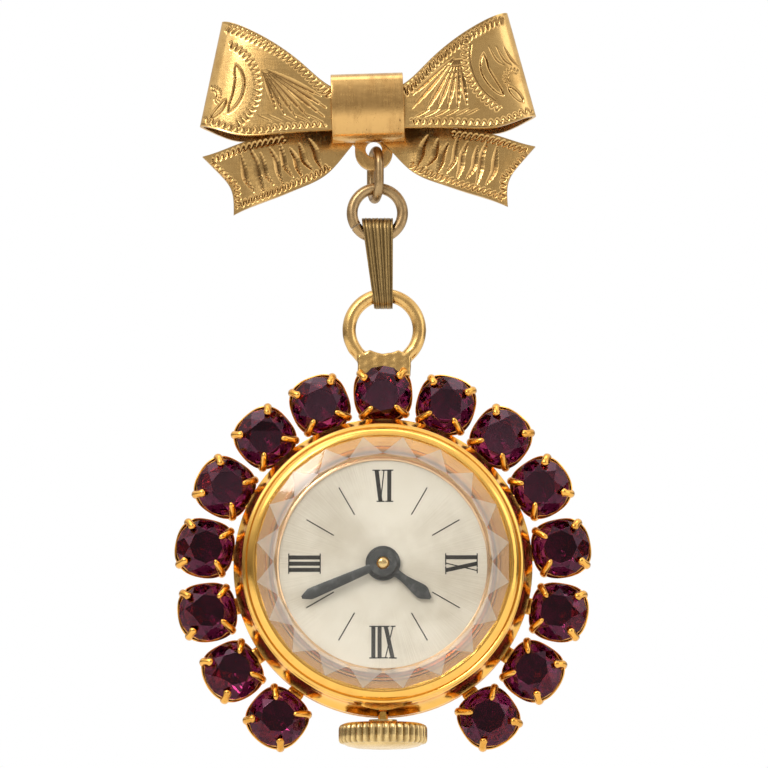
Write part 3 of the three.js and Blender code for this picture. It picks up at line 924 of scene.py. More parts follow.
BOW_GILT = MetalFinish(
    "bow_gilt", (0.75, 0.49, 0.19), (0.53, 0.32, 0.11), (0.24, 0.13, 0.045), 0.21, 0.14, 0.75, 0.3,
    has_cuts=True,
)
KNOT_GILT = MetalFinish(
    "knot_gilt", (0.66, 0.405, 0.15), (0.43, 0.245, 0.085), (0.10, 0.045, 0.02), 0.22, 0.18, 0.8, 0.32,
    grain=(1.6, 0.5, 0.5),
)
CASE_GILT = MetalFinish(
    "case_gilt", (0.94, 0.55, 0.13), (0.74, 0.40, 0.09), (0.2, 0.09, 0.02), 0.15, 0.1, 0.35, 0.16,
)
CLAW_GILT = MetalFinish(
    "claw_gilt", (0.86, 0.46, 0.10), (0.6, 0.28, 0.05), (0.16, 0.06, 0.015), 0.2, 0.12, 0.7, 0.5,
)
PENDANT_GILT = MetalFinish(
    "pendant_gilt", (0.76, 0.49, 0.18), (0.55, 0.33, 0.11), (0.16, 0.07, 0.02), 0.23, 0.14, 0.7, 0.4,
)
CHAIN_BRASS = MetalFinish(
    "chain_brass", (0.44, 0.30, 0.15), (0.27, 0.175, 0.085), (0.07, 0.04, 0.02), 0.34, 0.16, 0.8, 0.3,
)
STRAP_BRASS = MetalFinish(
    "strap_brass", (0.40, 0.27, 0.11), (0.27, 0.175, 0.07), (0.09, 0.055, 0.02), 0.36, 0.16, 0.6, 0.35,
    has_cuts=True,
)
CROWN_GOLD = MetalFinish(
    "crown_gold", (0.80, 0.59, 0.27), (0.60, 0.42, 0.18), (0.3, 0.2, 0.08), 0.24, 0.12, 0.6, 0.2,
    has_cuts=True,
)
ROSE_RING = MetalFinish(
    "rose_ring", (0.88, 0.62, 0.40), (0.8, 0.55, 0.33), (0.4, 0.22, 0.1), 0.22, 0.05, 0.2, 0.05,
)
PIN_STEEL = MetalFinish(
    "pin_steel", (0.62, 0.61, 0.58), (0.45, 0.43, 0.39), (0.12, 0.1, 0.08), 0.24, 0.1, 0.4, 0.1,
)
WORKS_BRASS = MetalFinish(
    "works_brass", (0.78, 0.62, 0.32), (0.6, 0.45, 0.22), (0.2, 0.12, 0.05), 0.3, 0.1, 0.3, 0.1,
)
FOIL = MetalFinish(
    "stone_foil", (0.75, 0.66, 0.72), (0.5, 0.4, 0.48), (0.1, 0.04, 0.08), 0.12, 0.05, 0.5, 0.1,
)
HAND_BLACK = PaintFinish("hand_black", (0.05, 0.055, 0.058), (0.11, 0.118, 0.12), 0.36, 0.5)
DIAL_INK = PaintFinish("dial_ink", (0.008, 0.008, 0.007), (0.02, 0.019, 0.018), 0.6)
CRYSTAL_ACRYLIC = GlassFinish(
    "crystal_acrylic", (0.985, 0.98, 0.965), (0.965, 0.955, 0.93), 1.49, 0.015, 0.08, lets_light=True
)
# Tinted copies of the crystal's acrylic for its rim triangles: painted reflections, pale grey on some
# triangles and rose on the others.
FACET_PAINTED_PALE_REFLECTION = GlassFinish(
    "crystal_facet_painted_reflection", (0.86, 0.84, 0.79), (0.78, 0.75, 0.69), 1.49, 0.16, 0.1, 0.68, lets_light=True
)
FACET_PAINTED_ROSE_REFLECTION = GlassFinish(
    "crystal_edge_painted_reflection", (0.96, 0.84, 0.74), (0.9, 0.77, 0.66), 1.49, 0.06, 0.1, 0.86, lets_light=True
)
AMETHYST_GLASS = GlassFinish(
    "amethyst_glass", (0.125, 0.008, 0.042), (0.08, 0.005, 0.027), 1.6, 0.01, sheen=(0.72, 0.36, 0.52)
)


# ------------------------------------------------------------------ engraving


@dataclass
class Engraving:
    """Graver's cuts, drawn in the X-Z plane in millimetres, that are pressed into a sheet."""

    segments: list[tuple[Vector, Vector, float, float]] = field(default_factory=list)
    border_half: float = 0.1
    border_depth: float = 0.1
    border_points: int = 6

    def line(
        self, points: Sequence[Point], width: float, depth: float, tapered: bool = False, count: int = 12
    ) -> None:
        """Add one cut along the smooth curve through some points.

        Args:
            points: the points that the cut passes through.
            width: half the cut's width.
            depth: its depth in the middle.
            tapered: whether it swells in the middle and ends in points.
            count: how many points make the curve.
        """
        course = smooth_line(points, count) if len(points) > 2 else [Vector(p) for p in points]
        if tapered and len(points) == 2:
            course = [course[0].lerp(course[1], step / 8) for step in range(9)]
        last = len(course) - 1
        for step, (start, end) in enumerate(zip(course, course[1:])):
            swell = 1.0
            if tapered:
                swell = 0.25 + 0.75 * math.sin(math.pi * (step + 0.5) / last)
            self.segments.append((start, end, width * swell, depth * swell))

    def wriggle(
        self, course: Sequence[Vector], pitch: float, reach: float, slant: float = 0.0
    ) -> None:
        """Add a border that a rocking graver leaves: a zigzag along a course.

        Args:
            course: closely spaced points of the border's middle line.
            pitch: length of one zig and zag.
            reach: how far the zigzag goes to each side.
            slant: how far its outer turns are shifted along the course.
        """
        lengths = [0.0]
        for start, end in zip(course, course[1:]):
            lengths.append(lengths[-1] + (end - start).length)
        turns = []
        count = int(lengths[-1] / pitch * self.border_points)
        xs = [point.x for point in course]
        zs = [point.y for point in course]
        for step in range(count + 1):
            way = lengths[-1] * step / count
            phase = math.sin(2 * math.pi * step / self.border_points + 0.5)
            side = max(-1.0, min(1.0, 1.35 * phase))
            at = min(max(way + slant * side, 0.0), lengths[-1])
            spot = Vector((np.interp(at, lengths, xs), np.interp(at, lengths, zs)))
            ahead = min(at + 0.1, lengths[-1])
            behind = max(at - 0.1, 0.0)
            along = Vector((
                np.interp(ahead, lengths, xs) - np.interp(behind, lengths, xs),
                np.interp(ahead, lengths, zs) - np.interp(behind, lengths, zs),
            )).normalized()
            turns.append(spot + Vector((-along.y, along.x)) * side * reach)
        for start, end in zip(turns, turns[1:]):
            self.segments.append((start, end, self.border_half, self.border_depth))

    def press(self, piece: Piece, chosen: np.ndarray, inwards: np.ndarray) -> None:
        """Press the cuts into a piece and keep how deep each vertex is as its cut value.

        Args:
            piece: the sheet, whose vertices are close together where it is engraved.
            chosen: which vertices lie on the engraved face.
            inwards: for each vertex, the direction into the sheet.
        """
        places = Bench.places(piece)
        spots = places[chosen][:, (0, 2)] / MM
        depth = np.zeros(len(spots))
        share = np.zeros(len(spots))
        for start, end, width, deep in self.segments:
            low = np.minimum(start, end) - width
            high = np.maximum(start, end) + width
            near = np.where(((spots > low) & (spots < high)).all(1))[0]
            if not len(near):
                continue
            a, b = np.array(start), np.array(end)
            way = b - a
            offset = spots[near] - a
            t = np.clip(offset @ way / max(way @ way, 1e-9), 0, 1)
            gap = np.linalg.norm(offset - t[:, None] * way, axis=1)
            cut = np.clip(1 - gap / width, 0, 1)
            depth[near] = np.maximum(depth[near], cut * deep)
            share[near] = np.maximum(share[near], cut)
        places[chosen] += inwards[chosen] * depth[:, None] * MM
        Bench.put(piece, places)
        # The cut values darken the cuts in the finish, as painted shade.
        marks = np.zeros(len(places))
        marks[chosen] = share
        Bench.mark_cuts(piece, marks)


# ------------------------------------------------------------------ brooch


@dataclass
class Ribbon:
    """Shared sizes and steps of the two sheets that make the bow, in millimetres."""

    sheet: float = 0.3
    reach: float = 12.4
    rows: tuple[float, ...] = (0.0, 0.2, 0.4, 0.6, 0.8, 1.0)

    def thicken(self, piece: Piece) -> Piece:
        """Round the cage's curves and give the sheet its thickness."""
        Bench.modify(
            piece, "SUBSURF", levels=3, render_levels=3, boundary_smooth="PRESERVE_CORNERS"
        )
        Bench.modify(piece, "SOLIDIFY", thickness=self.sheet * MM, offset=0.0)
        return Bench.close(piece)

    def refine_front(self, piece: Piece, deepest: float) -> None:
        """Subdivide the faces that look forward, in front of a depth in millimetres.

        Args:
            piece: the sheet.
            deepest: the depth behind which faces are left alone.
        """
        Bench.edit(piece, "FACE")
        form = bmesh.from_edit_mesh(piece.data)
        for face in form.faces:
            forward = face.normal.y < FORWARD
            face.select = forward and face.calc_center_median().y < deepest * MM
        bmesh.update_edit_mesh(piece.data)
        bpy.ops.mesh.subdivide(number_cuts=2)
        bpy.ops.object.mode_set(mode="OBJECT")

    def engrave(self, piece: Piece, design: Engraving, deepest: float) -> None:
        """Press a design into the front of a piece.

        Args:
            piece: the sheet.
            design: the cuts.
            deepest: the depth, in millimetres, behind which nothing is cut.
        """
        normals = Bench.normals(piece)
        chosen = (normals[:, 1] < FORWARD) & (Bench.places(piece)[:, 1] < deepest * MM)
        design.press(piece, chosen, -normals)

    def set_level(self, piece: Piece) -> None:
        """Turn a piece by the bow's small tilt on its bar."""
        piece.data.transform(Matrix.Rotation(-BOW_TILT, 4, "Y"))


@dataclass
class BowLoops(Ribbon):
    """The engraved strip that makes both loops of the bow."""

    flare: float = 1.0
    plan: tuple[Point, ...] = (
        (0, -2.75), (3, -2.68), (5.8, -2.15), (9, -2.05), (11.4, -2.35), (12.25, -3.2),
        (11.4, -4.15), (9, -4.65), (6, -4.8), (3.3, -4.6), (0.5, -4.45),
    )
    top: tuple[float, ...] = (0.5, 1.1, 3.7, 5.7, 7)
    front: tuple[float, ...] = (-2.2, -2.3, -2.45, -2.55, -1.4)
    back: tuple[float, ...] = (-1.1, -1.2, -1.9, -2.6, -1.4)
    columns: int = 44
    deepest_cut: float = -3.4

    def edge(self, heights: Sequence[float], x: float) -> float:
        """Height of an edge at a distance from the bow's middle."""
        return spline([(height,) * 2 for height in heights], abs(x) / self.reach)[0]

    def spot(self, x: float, y: float, up: float) -> Vector:
        """A place on the strip.

        Args:
            x: distance to the right of the middle, before the loop flares.
            y: depth of the strip there.
            up: share of the way from the lower edge to the upper one.

        Returns:
            The place, in metres.
        """
        behind = min(max((y + 4.2) / 1.9, 0.0), 1.0)
        behind = behind * behind * (3 - 2 * behind)
        front = self.edge(self.front, x)
        low = front + (self.edge(self.back, x) - front) * behind
        height = low + (self.edge(self.top, x) - low) * up
        flare = x / self.reach * self.flare * (1 - 2 * up)
        return MM * Vector((x + flare, y, height))

    def border(self, start: float, end: float, inset: float, top: bool) -> list[Vector]:
        """A course at an inset from the front panel's upper or lower edge.

        Args:
            start: distance of its start to the right of the middle.
            end: distance of its end.
            inset: how far inside the edge it runs.
            top: whether it follows the upper edge.

        Returns:
            The course's points.
        """
        course = []
        for step in range(41):
            x = start + (end - start) * step / 40
            edge = self.spot(x, -4.7, 1.0 if top else 0.0) / MM
            course.append(Vector((edge.x, edge.z + (-inset if top else inset))))
        return course

    def arc(self, centre: Point, radius: float, start: float, end: float) -> list[Vector]:
        """A course along an arc, from one angle to another, in degrees.

        Args:
            centre: the arc's centre.
            radius: its radius.
            start: the angle where it starts.
            end: the angle where it ends.

        Returns:
            The course's points.
        """
        course = []
        for step in range(41):
            angle = math.radians(start + (end - start) * step / 40)
            course.append(Vector(centre) + radius * Vector((math.cos(angle), math.sin(angle))))
        return course

    def design(self) -> Engraving:
        """Borders round both panels, a fan of rays, and a leaf with a flower at each end."""
        cuts = Engraving()
        for side in (1, -1):
            cuts.wriggle(self.border(side * 3.1, side * 12.0, 0.5, False), 0.52, 0.2)
            cuts.wriggle(self.border(side * 3.1, side * 12.0, 0.62, True), 0.42, 0.3, 0.14)
            cuts.line(self.border(side * 3.0, side * 12.2, 0.16, False)[::8], 0.05, 0.03)
            cuts.line(self.border(side * 3.0, side * 12.2, 0.18, True)[::8], 0.05, 0.03)
        self.right_panel(cuts)
        self.left_panel(cuts)
        return cuts

    def rays(self, cuts: Engraving, apex: Point, ends: Sequence[Point]) -> None:
        """A fan of tapered cuts from one point.

        Args:
            cuts: the design to add to.
            apex: the point they spring from.
            ends: where each one ends.
        """
        for end in ends:
            start = Vector(apex).lerp(Vector(end), 0.12)
            cuts.line([start, Vector(end)], 0.25, 0.17, tapered=True)

    def leaf(self, cuts: Engraving, spine: Sequence[Point], belly: float) -> None:
        """The outline of a long leaf about a curved spine, with a shaded side.

        Args:
            cuts: the design to add to.
            spine: points of the leaf's middle line.
            belly: half its greatest width.
        """
        course = smooth_line(spine, 15)
        for side, width in ((1, 0.085), (-1, 0.06)):
            edge = []
            for step, point in enumerate(course):
                before = course[max(step - 1, 0)]
                after = course[min(step + 1, len(course) - 1)]
                along = (after - before).normalized()
                swell = belly * math.sin(math.pi * step / (len(course) - 1)) ** 0.6
                edge.append(point + Vector((-along.y, along.x)) * swell * side)
            cuts.line(edge[::2], width * 1.3, 0.12, count=20)

    def flower(self, cuts: Engraving, centre: Point, radius: float, start: float, end: float) -> None:
        """A half daisy: an arc with short petals round it.

        Args:
            cuts: the design to add to.
            centre: the arc's centre.
            radius: its radius.
            start: the angle of the first petal, in degrees.
            end: the angle of the last petal.
        """
        cuts.line(self.arc(centre, radius, start, end)[::8], 0.06, 0.08)
        for step in range(9):
            angle = math.radians(start + (end - start) * step / 8)
            ray = Vector((math.cos(angle), math.sin(angle)))
            cuts.line(
                [Vector(centre) + ray * (radius + 0.14), Vector(centre) + ray * (radius + 0.42)],
                0.09, 0.1, tapered=True,
            )

    def right_panel(self, cuts: Engraving) -> None:
        """The cuts of the right half."""
        divide = self.arc((12.5, 3.2), 4.75, 158, 244)
        cuts.wriggle(divide, 0.44, 0.24)
        cuts.line(self.arc((12.5, 3.2), 4.3, 166, 236)[::8], 0.13, 0.05, count=24)
        self.rays(cuts, (7.35, 3.5), [
            (3.6, 0.35), (3.5, -0.75), (4.6, -1.0), (5.5, -0.95), (6.3, -0.9), (7.1, -0.85),
            (7.8, -0.6),
        ])
        for x in (4.4, 5.2, 6.0, 6.8, 7.6, 8.4):
            cuts.line([(x + 0.45, -0.95), (x - 0.75, -1.5)], 0.1, 0.1, tapered=True)
        self.leaf(cuts, [(9.3, 3.5), (9.35, 2.2), (10.0, 1.0), (10.75, 0.1)], 0.36)
        self.flower(cuts, (11.6, 1.5), 0.45, 60, 230)
        self.leaf(cuts, [(11.2, 0.75), (11.75, 0.2), (12.3, -0.4)], 0.26)
        for shift in (0.0, 0.62, 1.24):
            cuts.line(
                [(9.7 + shift, 4.1 - 0.1 * shift), (10.3 + shift, 3.0), (10.9 + shift, 2.55)],
                0.12, 0.1, tapered=True,
            )

    def left_panel(self, cuts: Engraving) -> None:
        """The cuts of the left half."""
        divide = self.arc((-12.3, 1.5), 3.7, 66, -58)
        cuts.wriggle(divide, 0.44, 0.24)
        self.rays(cuts, (-8.3, 2.9), [
            (-3.7, 0.45), (-3.3, -0.5), (-3.5, -1.2), (-4.7, -1.25), (-5.7, -1.2), (-6.6, -0.95),
            (-7.3, -0.4),
        ])
        for x in (-4.4, -5.4, -6.4, -7.4, -8.2):
            cuts.line([(x - 0.45, -1.0), (x + 0.75, -1.6)], 0.09, 0.08, tapered=True)
        self.leaf(cuts, [(-10.3, 3.2), (-10.05, 1.9), (-10.3, 0.6), (-11.0, -0.6)], 0.4)
        self.flower(cuts, (-12.3, 0.9), 0.4, -60, 90)
        self.leaf(cuts, [(-11.2, 0.4), (-11.7, -0.3), (-12.4, -0.9)], 0.22)

    def build(self) -> Piece:
        """Model the strip, engrave its front and set it on its tilt."""
        left = [(-x, y) for x, y in reversed(self.plan[1:])]
        stations = []
        for step in range(self.columns + 1):
            x, y = spline([*left, *self.plan], step / self.columns)
            stations.append([self.spot(x, y, up) for up in self.rows])
        piece = self.thicken(Bench.sheet("engraved_loops", stations))
        self.refine_front(piece, self.deepest_cut)
        self.engrave(piece, self.design(), self.deepest_cut)
        self.set_level(piece)
        return Bench.smooth(piece, 60)


@dataclass
class BowTails(Ribbon):
    """The notched strip behind the knot whose ends hang as tails."""

    reach: float = 13.2
    rows: tuple[float, ...] = (0.0, 0.22, 0.44, 0.72, 1.0)
    row_reach: tuple[float, ...] = (10.85, 10.8, 11.0, 12.0, 13.2)
    plan: tuple[Point, ...] = (
        (0, -1.75), (2.6, -1.75), (4.2, -2.05), (6, -2.6), (8.5, -2.6), (10.8, -2.3), (13.2, -2.4),
    )
    top: tuple[float, ...] = (0.4, -1.45, -2.05, -2.6, -3.7)
    bottom: tuple[float, ...] = (-1.7, -5.25, -6.9, -8, -9.6)
    notch: tuple[Point, ...] = ((10.45, -7.9), (10.55, -6.1), (12.5, -4.2))
    columns: int = 28
    deepest_cut: float = -1.85

    def height(self, x: float, up: float) -> float:
        """Height of a place on the strip."""
        share = abs(x) / self.reach
        low, high = (spline([(h,) * 2 for h in edge], share)[0] for edge in (self.bottom, self.top))
        return low + (high - low) * up

    def border(self, side: int, start: float, end: float, inset: float, top: bool) -> list[Vector]:
        """A course at an inset from a tail's upper or lower edge.

        Args:
            side: 1 for the right tail, -1 for the left.
            start: distance of its start from the middle.
            end: distance of its end.
            inset: how far inside the edge it runs.
            top: whether it follows the upper edge.

        Returns:
            The course's points.
        """
        course = []
        for step in range(31):
            x = start + (end - start) * step / 30
            edge = self.height(x, 1.0 if top else 0.0)
            course.append(Vector((side * x, edge + (-inset if top else inset))))
        return course

    def design(self) -> Engraving:
        """Borders along every edge and wavy slashes between them."""
        cuts = Engraving()
        for side in (1, -1):
            cuts.wriggle(self.border(side, 3.2, 10.4, 0.55, False), 0.44, 0.22, 0.1)
            cuts.wriggle(self.border(side, 6.6, 12.4, 0.5, True), 0.44, 0.2, 0.1)
            ends = [Vector((side * x, z)) for x, z in self.notch]
            for start, end in zip(ends, ends[1:]):
                cuts.wriggle([start.lerp(end, step / 12) for step in range(13)], 0.44, 0.2)
            for step in range(8):
                x = 4.2 + step * 0.78
                high = self.height(x, 1.0) - 0.85 - 0.25 * (step % 3)
                low = self.height(x, 0.0) + 1.0 + 0.3 * (step % 2)
                sway = 0.16 if step % 2 else -0.1
                points = [
                    (x + 0.5, high), (x + 0.15 + sway, (2 * high + low) / 3),
                    (x + sway, (high + 2 * low) / 3), (x - 0.45, low),
                ]
                cuts.line([(side * px, pz) for px, pz in points], 0.3, 0.17, tapered=True)
        return cuts

    def build(self) -> Piece:
        """Model the strip, engrave its front and set it on its tilt."""
        left = [(-x, y) for x, y in reversed(self.plan[1:])]
        stations = []
        for step in range(self.columns + 1):
            x, y = spline([*left, *self.plan], step / self.columns)
            station = []
            for up, reach in zip(self.rows, self.row_reach):
                across = x * (1 - (1 - reach / self.reach) * abs(x / self.reach) ** 2)
                station.append(MM * Vector((across, y, self.height(across, up))))
            stations.append(station)
        piece = self.thicken(Bench.sheet("engraved_tails", stations))
        self.refine_front(piece, 0.0)
        self.engrave(piece, self.design(), self.deepest_cut)
        self.set_level(piece)
        return Bench.smooth(piece, 60)


@dataclass
class Knot:
    """The plain band round the middle of the bow."""

    width: float = 5.7
    wall: float = 0.35
    rounding: float = 0.05
    profile: tuple[Point, ...] = (
        (-2.3, 2.22), (-3.6, 2.22), (-4.35, 2.06), (-4.85, 1.62), (-5.02, 1.0), (-5.07, 0.3),
        (-5.08, -0.35), (-5.0, -1.1), (-4.82, -1.75), (-4.5, -2.35), (-4.05, -2.72), (-3.4, -2.87),
        (-2.3, -2.87), (-2.22, -1.5), (-2.22, 1.0),
    )

    def build(self) -> Piece:
        """Lay the band along its profile, close it and give it its wall."""
        columns = [self.width * (step / 6 - 0.5) for step in range(7)]
        loop = [*self.profile, self.profile[0]]
        piece = Bench.sheet("knot_band", [
            [MM * Vector((x, y, z)) for x in columns] for y, z in loop
        ])
        Bench.close(piece)
        Bench.modify(piece, "SUBSURF", levels=2, render_levels=2)
        Bench.modify(piece, "SOLIDIFY", thickness=self.wall * MM, offset=0.0)
        Bench.modify(
            piece, "BEVEL", width=self.rounding * MM, segments=3, limit_method="ANGLE",
            angle_limit=math.radians(50),
        )
        piece.data.transform(Matrix.Rotation(-BOW_TILT, 4, "Y"))
        return Bench.smooth(Bench.close(piece), 40)


@dataclass
class Brooch:
    """The bow brooch: ribbon, knot, hanging eye, bar, pin and catch."""

    loops: BowLoops = field(default_factory=BowLoops)
    tails: BowTails = field(default_factory=BowTails)
    knot: Knot = field(default_factory=Knot)
    pin_radius: float = 0.35
    pin_eye: float = 0.78

    def pin(self) -> Piece:
        """The pin: a round wire drawn to a point, with a flat eye round the rivet."""
        low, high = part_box("brooch_pin")
        start = low.x / MM + self.pin_eye
        end = high.x / MM
        centre = Vector((0, middle("brooch_pin").y, 0))
        r = self.pin_radius
        wire = Bench.turn("pin_wire", [
            (0, start + 0.45), (r, start + 0.45), (r, end - 3.0), (0.3, end - 2.0), (0.18, end - 0.8),
            (0.05, end - 0.05), (0, end),
        ], centre, 24, Axis.X, ring=False)
        eye = Bench.turn("pin_eye", [
            (0.43, -0.42), (0.7, -0.42), (0.78, -0.34), (0.78, 0.34), (0.7, 0.42), (0.43, 0.42),
        ], Vector((start * MM, centre.y, 0)), 40, Axis.Z)
        return Bench.smooth(Bench.join("pin_with_eye", [wire, eye]), 40)

    def build(self) -> None:
        """Model and dress every piece of the brooch."""
        Bench.fit(self.loops.build(), BOW_GILT, Slot.GILT, "bow_loops")
        Bench.fit(self.tails.build(), BOW_GILT, Slot.GILT, "bow_tails")
        Bench.fit(self.knot.build(), KNOT_GILT, Slot.GILT, "bow_knot")
        for node, rounding in (
            ("hanging_eye", 0.07), ("back_bar", 0.16), ("pin_hinge", 0.06), ("hinge_rivet", 0.05),
            ("catch_base", 0.06), ("catch_roller", 0.05),
        ):
            piece = Bench.from_node(node, node + "_finished", rounding)
            Bench.fit(piece, KNOT_GILT, Slot.GILT, node)
        Bench.fit(self.pin(), PIN_STEEL, Slot.STEEL, "brooch_pin")


# ------------------------------------------------------------------ chain


@dataclass
class Chain:
    """The oval link, the split jump ring and the flat strap link, in millimetres."""

    link_bend: float = 1.31
    link_wire: float = 0.36
    link_straight: float = 1.26
    link_turn: float = math.radians(104)
    ring_radius: float = 2.0
    ring_wire: float = 0.44
    ring_gap: float = 0.045
    strap_wall: float = 0.3
    strap_wide: float = 1.3
    strap_narrow: float = 0.75
    strap_bend: float = 0.88
    strap_columns: int = 48
    bend_steps: int = 16
    run_steps: int = 14

    def oval_link(self) -> Piece:
        """Spin half a ring, draw it out straight, and close it with the other half."""
        centre = middle("oval_link")
        half = self.link_straight / 2 * MM
        Bench.clear()
        bpy.ops.mesh.primitive_circle_add(
            vertices=20, radius=self.link_wire * MM, rotation=(0, 0, 0),
            location=centre + Vector((self.link_bend * MM, 0, half)),
        )
        piece = Bench.named("drawn_link")
        bpy.ops.object.transform_apply(location=True, rotation=True, scale=True)
        Bench.edit_all(piece)
        for side in (1, -1):
            bpy.ops.mesh.spin(
                steps=36, angle=math.pi, axis=Axis.Y.value,
                center=centre + Vector((0, 0, side * half)),
            )
            bpy.ops.mesh.extrude_region_move(
                TRANSFORM_OT_translate={"value": (0, 0, -side * 2 * half)}
            )
        Bench.close(piece)
        turn = Matrix.Translation(centre) @ Matrix.Rotation(self.link_turn, 4, "Z")
        piece.data.transform(turn @ Matrix.Translation(-centre))
        return Bench.smooth(piece, 60)

    def strap(self) -> Piece:
        """Lay a grooved band round its long loop."""
        low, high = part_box("strap_link")
        top, bottom = high.z / MM, low.z / MM
        middle_y = middle("strap_link").y / MM
        head, foot = middle("jump_ring").x / MM, middle("pendant_ring").x / MM - 0.05
        bend = self.strap_bend
        ends = (top - bend - self.strap_wall / 2 - 0.02, bottom + bend + self.strap_wall / 2 + 0.02)
        course = []
        for end, way in zip(ends, (1, -1)):
            for step in range(self.bend_steps + 1):
                angle = math.pi * step / self.bend_steps
                course.append((
                    middle_y - way * bend * math.cos(angle), end + way * bend * math.sin(angle)
                ))
            for step in range(1, self.run_steps):
                run = way * (ends[1] - ends[0]) * step / self.run_steps
                course.append((middle_y + way * bend, end + run))
        course.append(course[0])
        stations = []
        for y, z in course:
            down = (top - z) / (top - bottom)
            half = self.strap_wide + (self.strap_narrow - self.strap_wide) * down
            centre = head + (foot - head) * down
            stations.append([
                MM * Vector((centre + half * (2 * column / self.strap_columns - 1), y, z))
                for column in range(self.strap_columns + 1)
            ])
        stations[-1] = stations[0]
        piece = Bench.sheet("grooved_strap", stations)
        Bench.close(piece)
        Bench.modify(piece, "SOLIDIFY", thickness=self.strap_wall * MM, offset=0.0)
        self.groove(piece, head, foot, top, bottom)
        return Bench.smooth(piece, 75)

    def groove(
        self, piece: Piece, head: float, foot: float, top: float, bottom: float
    ) -> None:
        """Press lengthwise grooves into both faces of the strap and round its edges.

        Args:
            piece: the strap.
            head: place of its middle at the upper end, in millimetres, as are the rest.
            foot: place of its middle at the lower end.
            top: height of its upper end.
            bottom: height of its lower end.
        """
        places = Bench.places(piece)
        z = places[:, 2] / MM
        down = (top - z) / (top - bottom)
        half = self.strap_wide + (self.strap_narrow - self.strap_wide) * down
        across = (places[:, 0] / MM - (head + (foot - head) * down)) / half
        wave = 0.55 * np.cos(across * 27.0 + 0.4) + 0.3 * np.cos(across * 43.0 + 1.9 + 0.3 * z)
        wave += 0.25 * np.cos(across * 11.0 + 0.8)
        edge = np.clip((np.abs(across) - 0.86) / 0.14, 0, 1) ** 2
        shift = 0.028 * wave - 0.075 * edge
        Bench.put(piece, places + Bench.normals(piece) * (shift * MM)[:, None])
        # The grooves' cut values darken them in the finish, as painted shade.
        Bench.mark_cuts(piece, np.clip(0.5 - wave, 0, 1))

    def build(self) -> None:
        """Model and dress the three links."""
        Bench.fit(self.oval_link(), CHAIN_BRASS, Slot.OLD_BRASS, "oval_link")
        ring = Bench.wire(
            "split_ring", middle("jump_ring"), self.ring_radius, self.ring_wire, self.ring_gap
        )
        Bench.fit(Bench.smooth(ring, 50), CHAIN_BRASS, Slot.OLD_BRASS, "jump_ring")
        Bench.fit(self.strap(), STRAP_BRASS, Slot.OLD_BRASS, "strap_link")


# ------------------------------------------------------------------ stones and settings


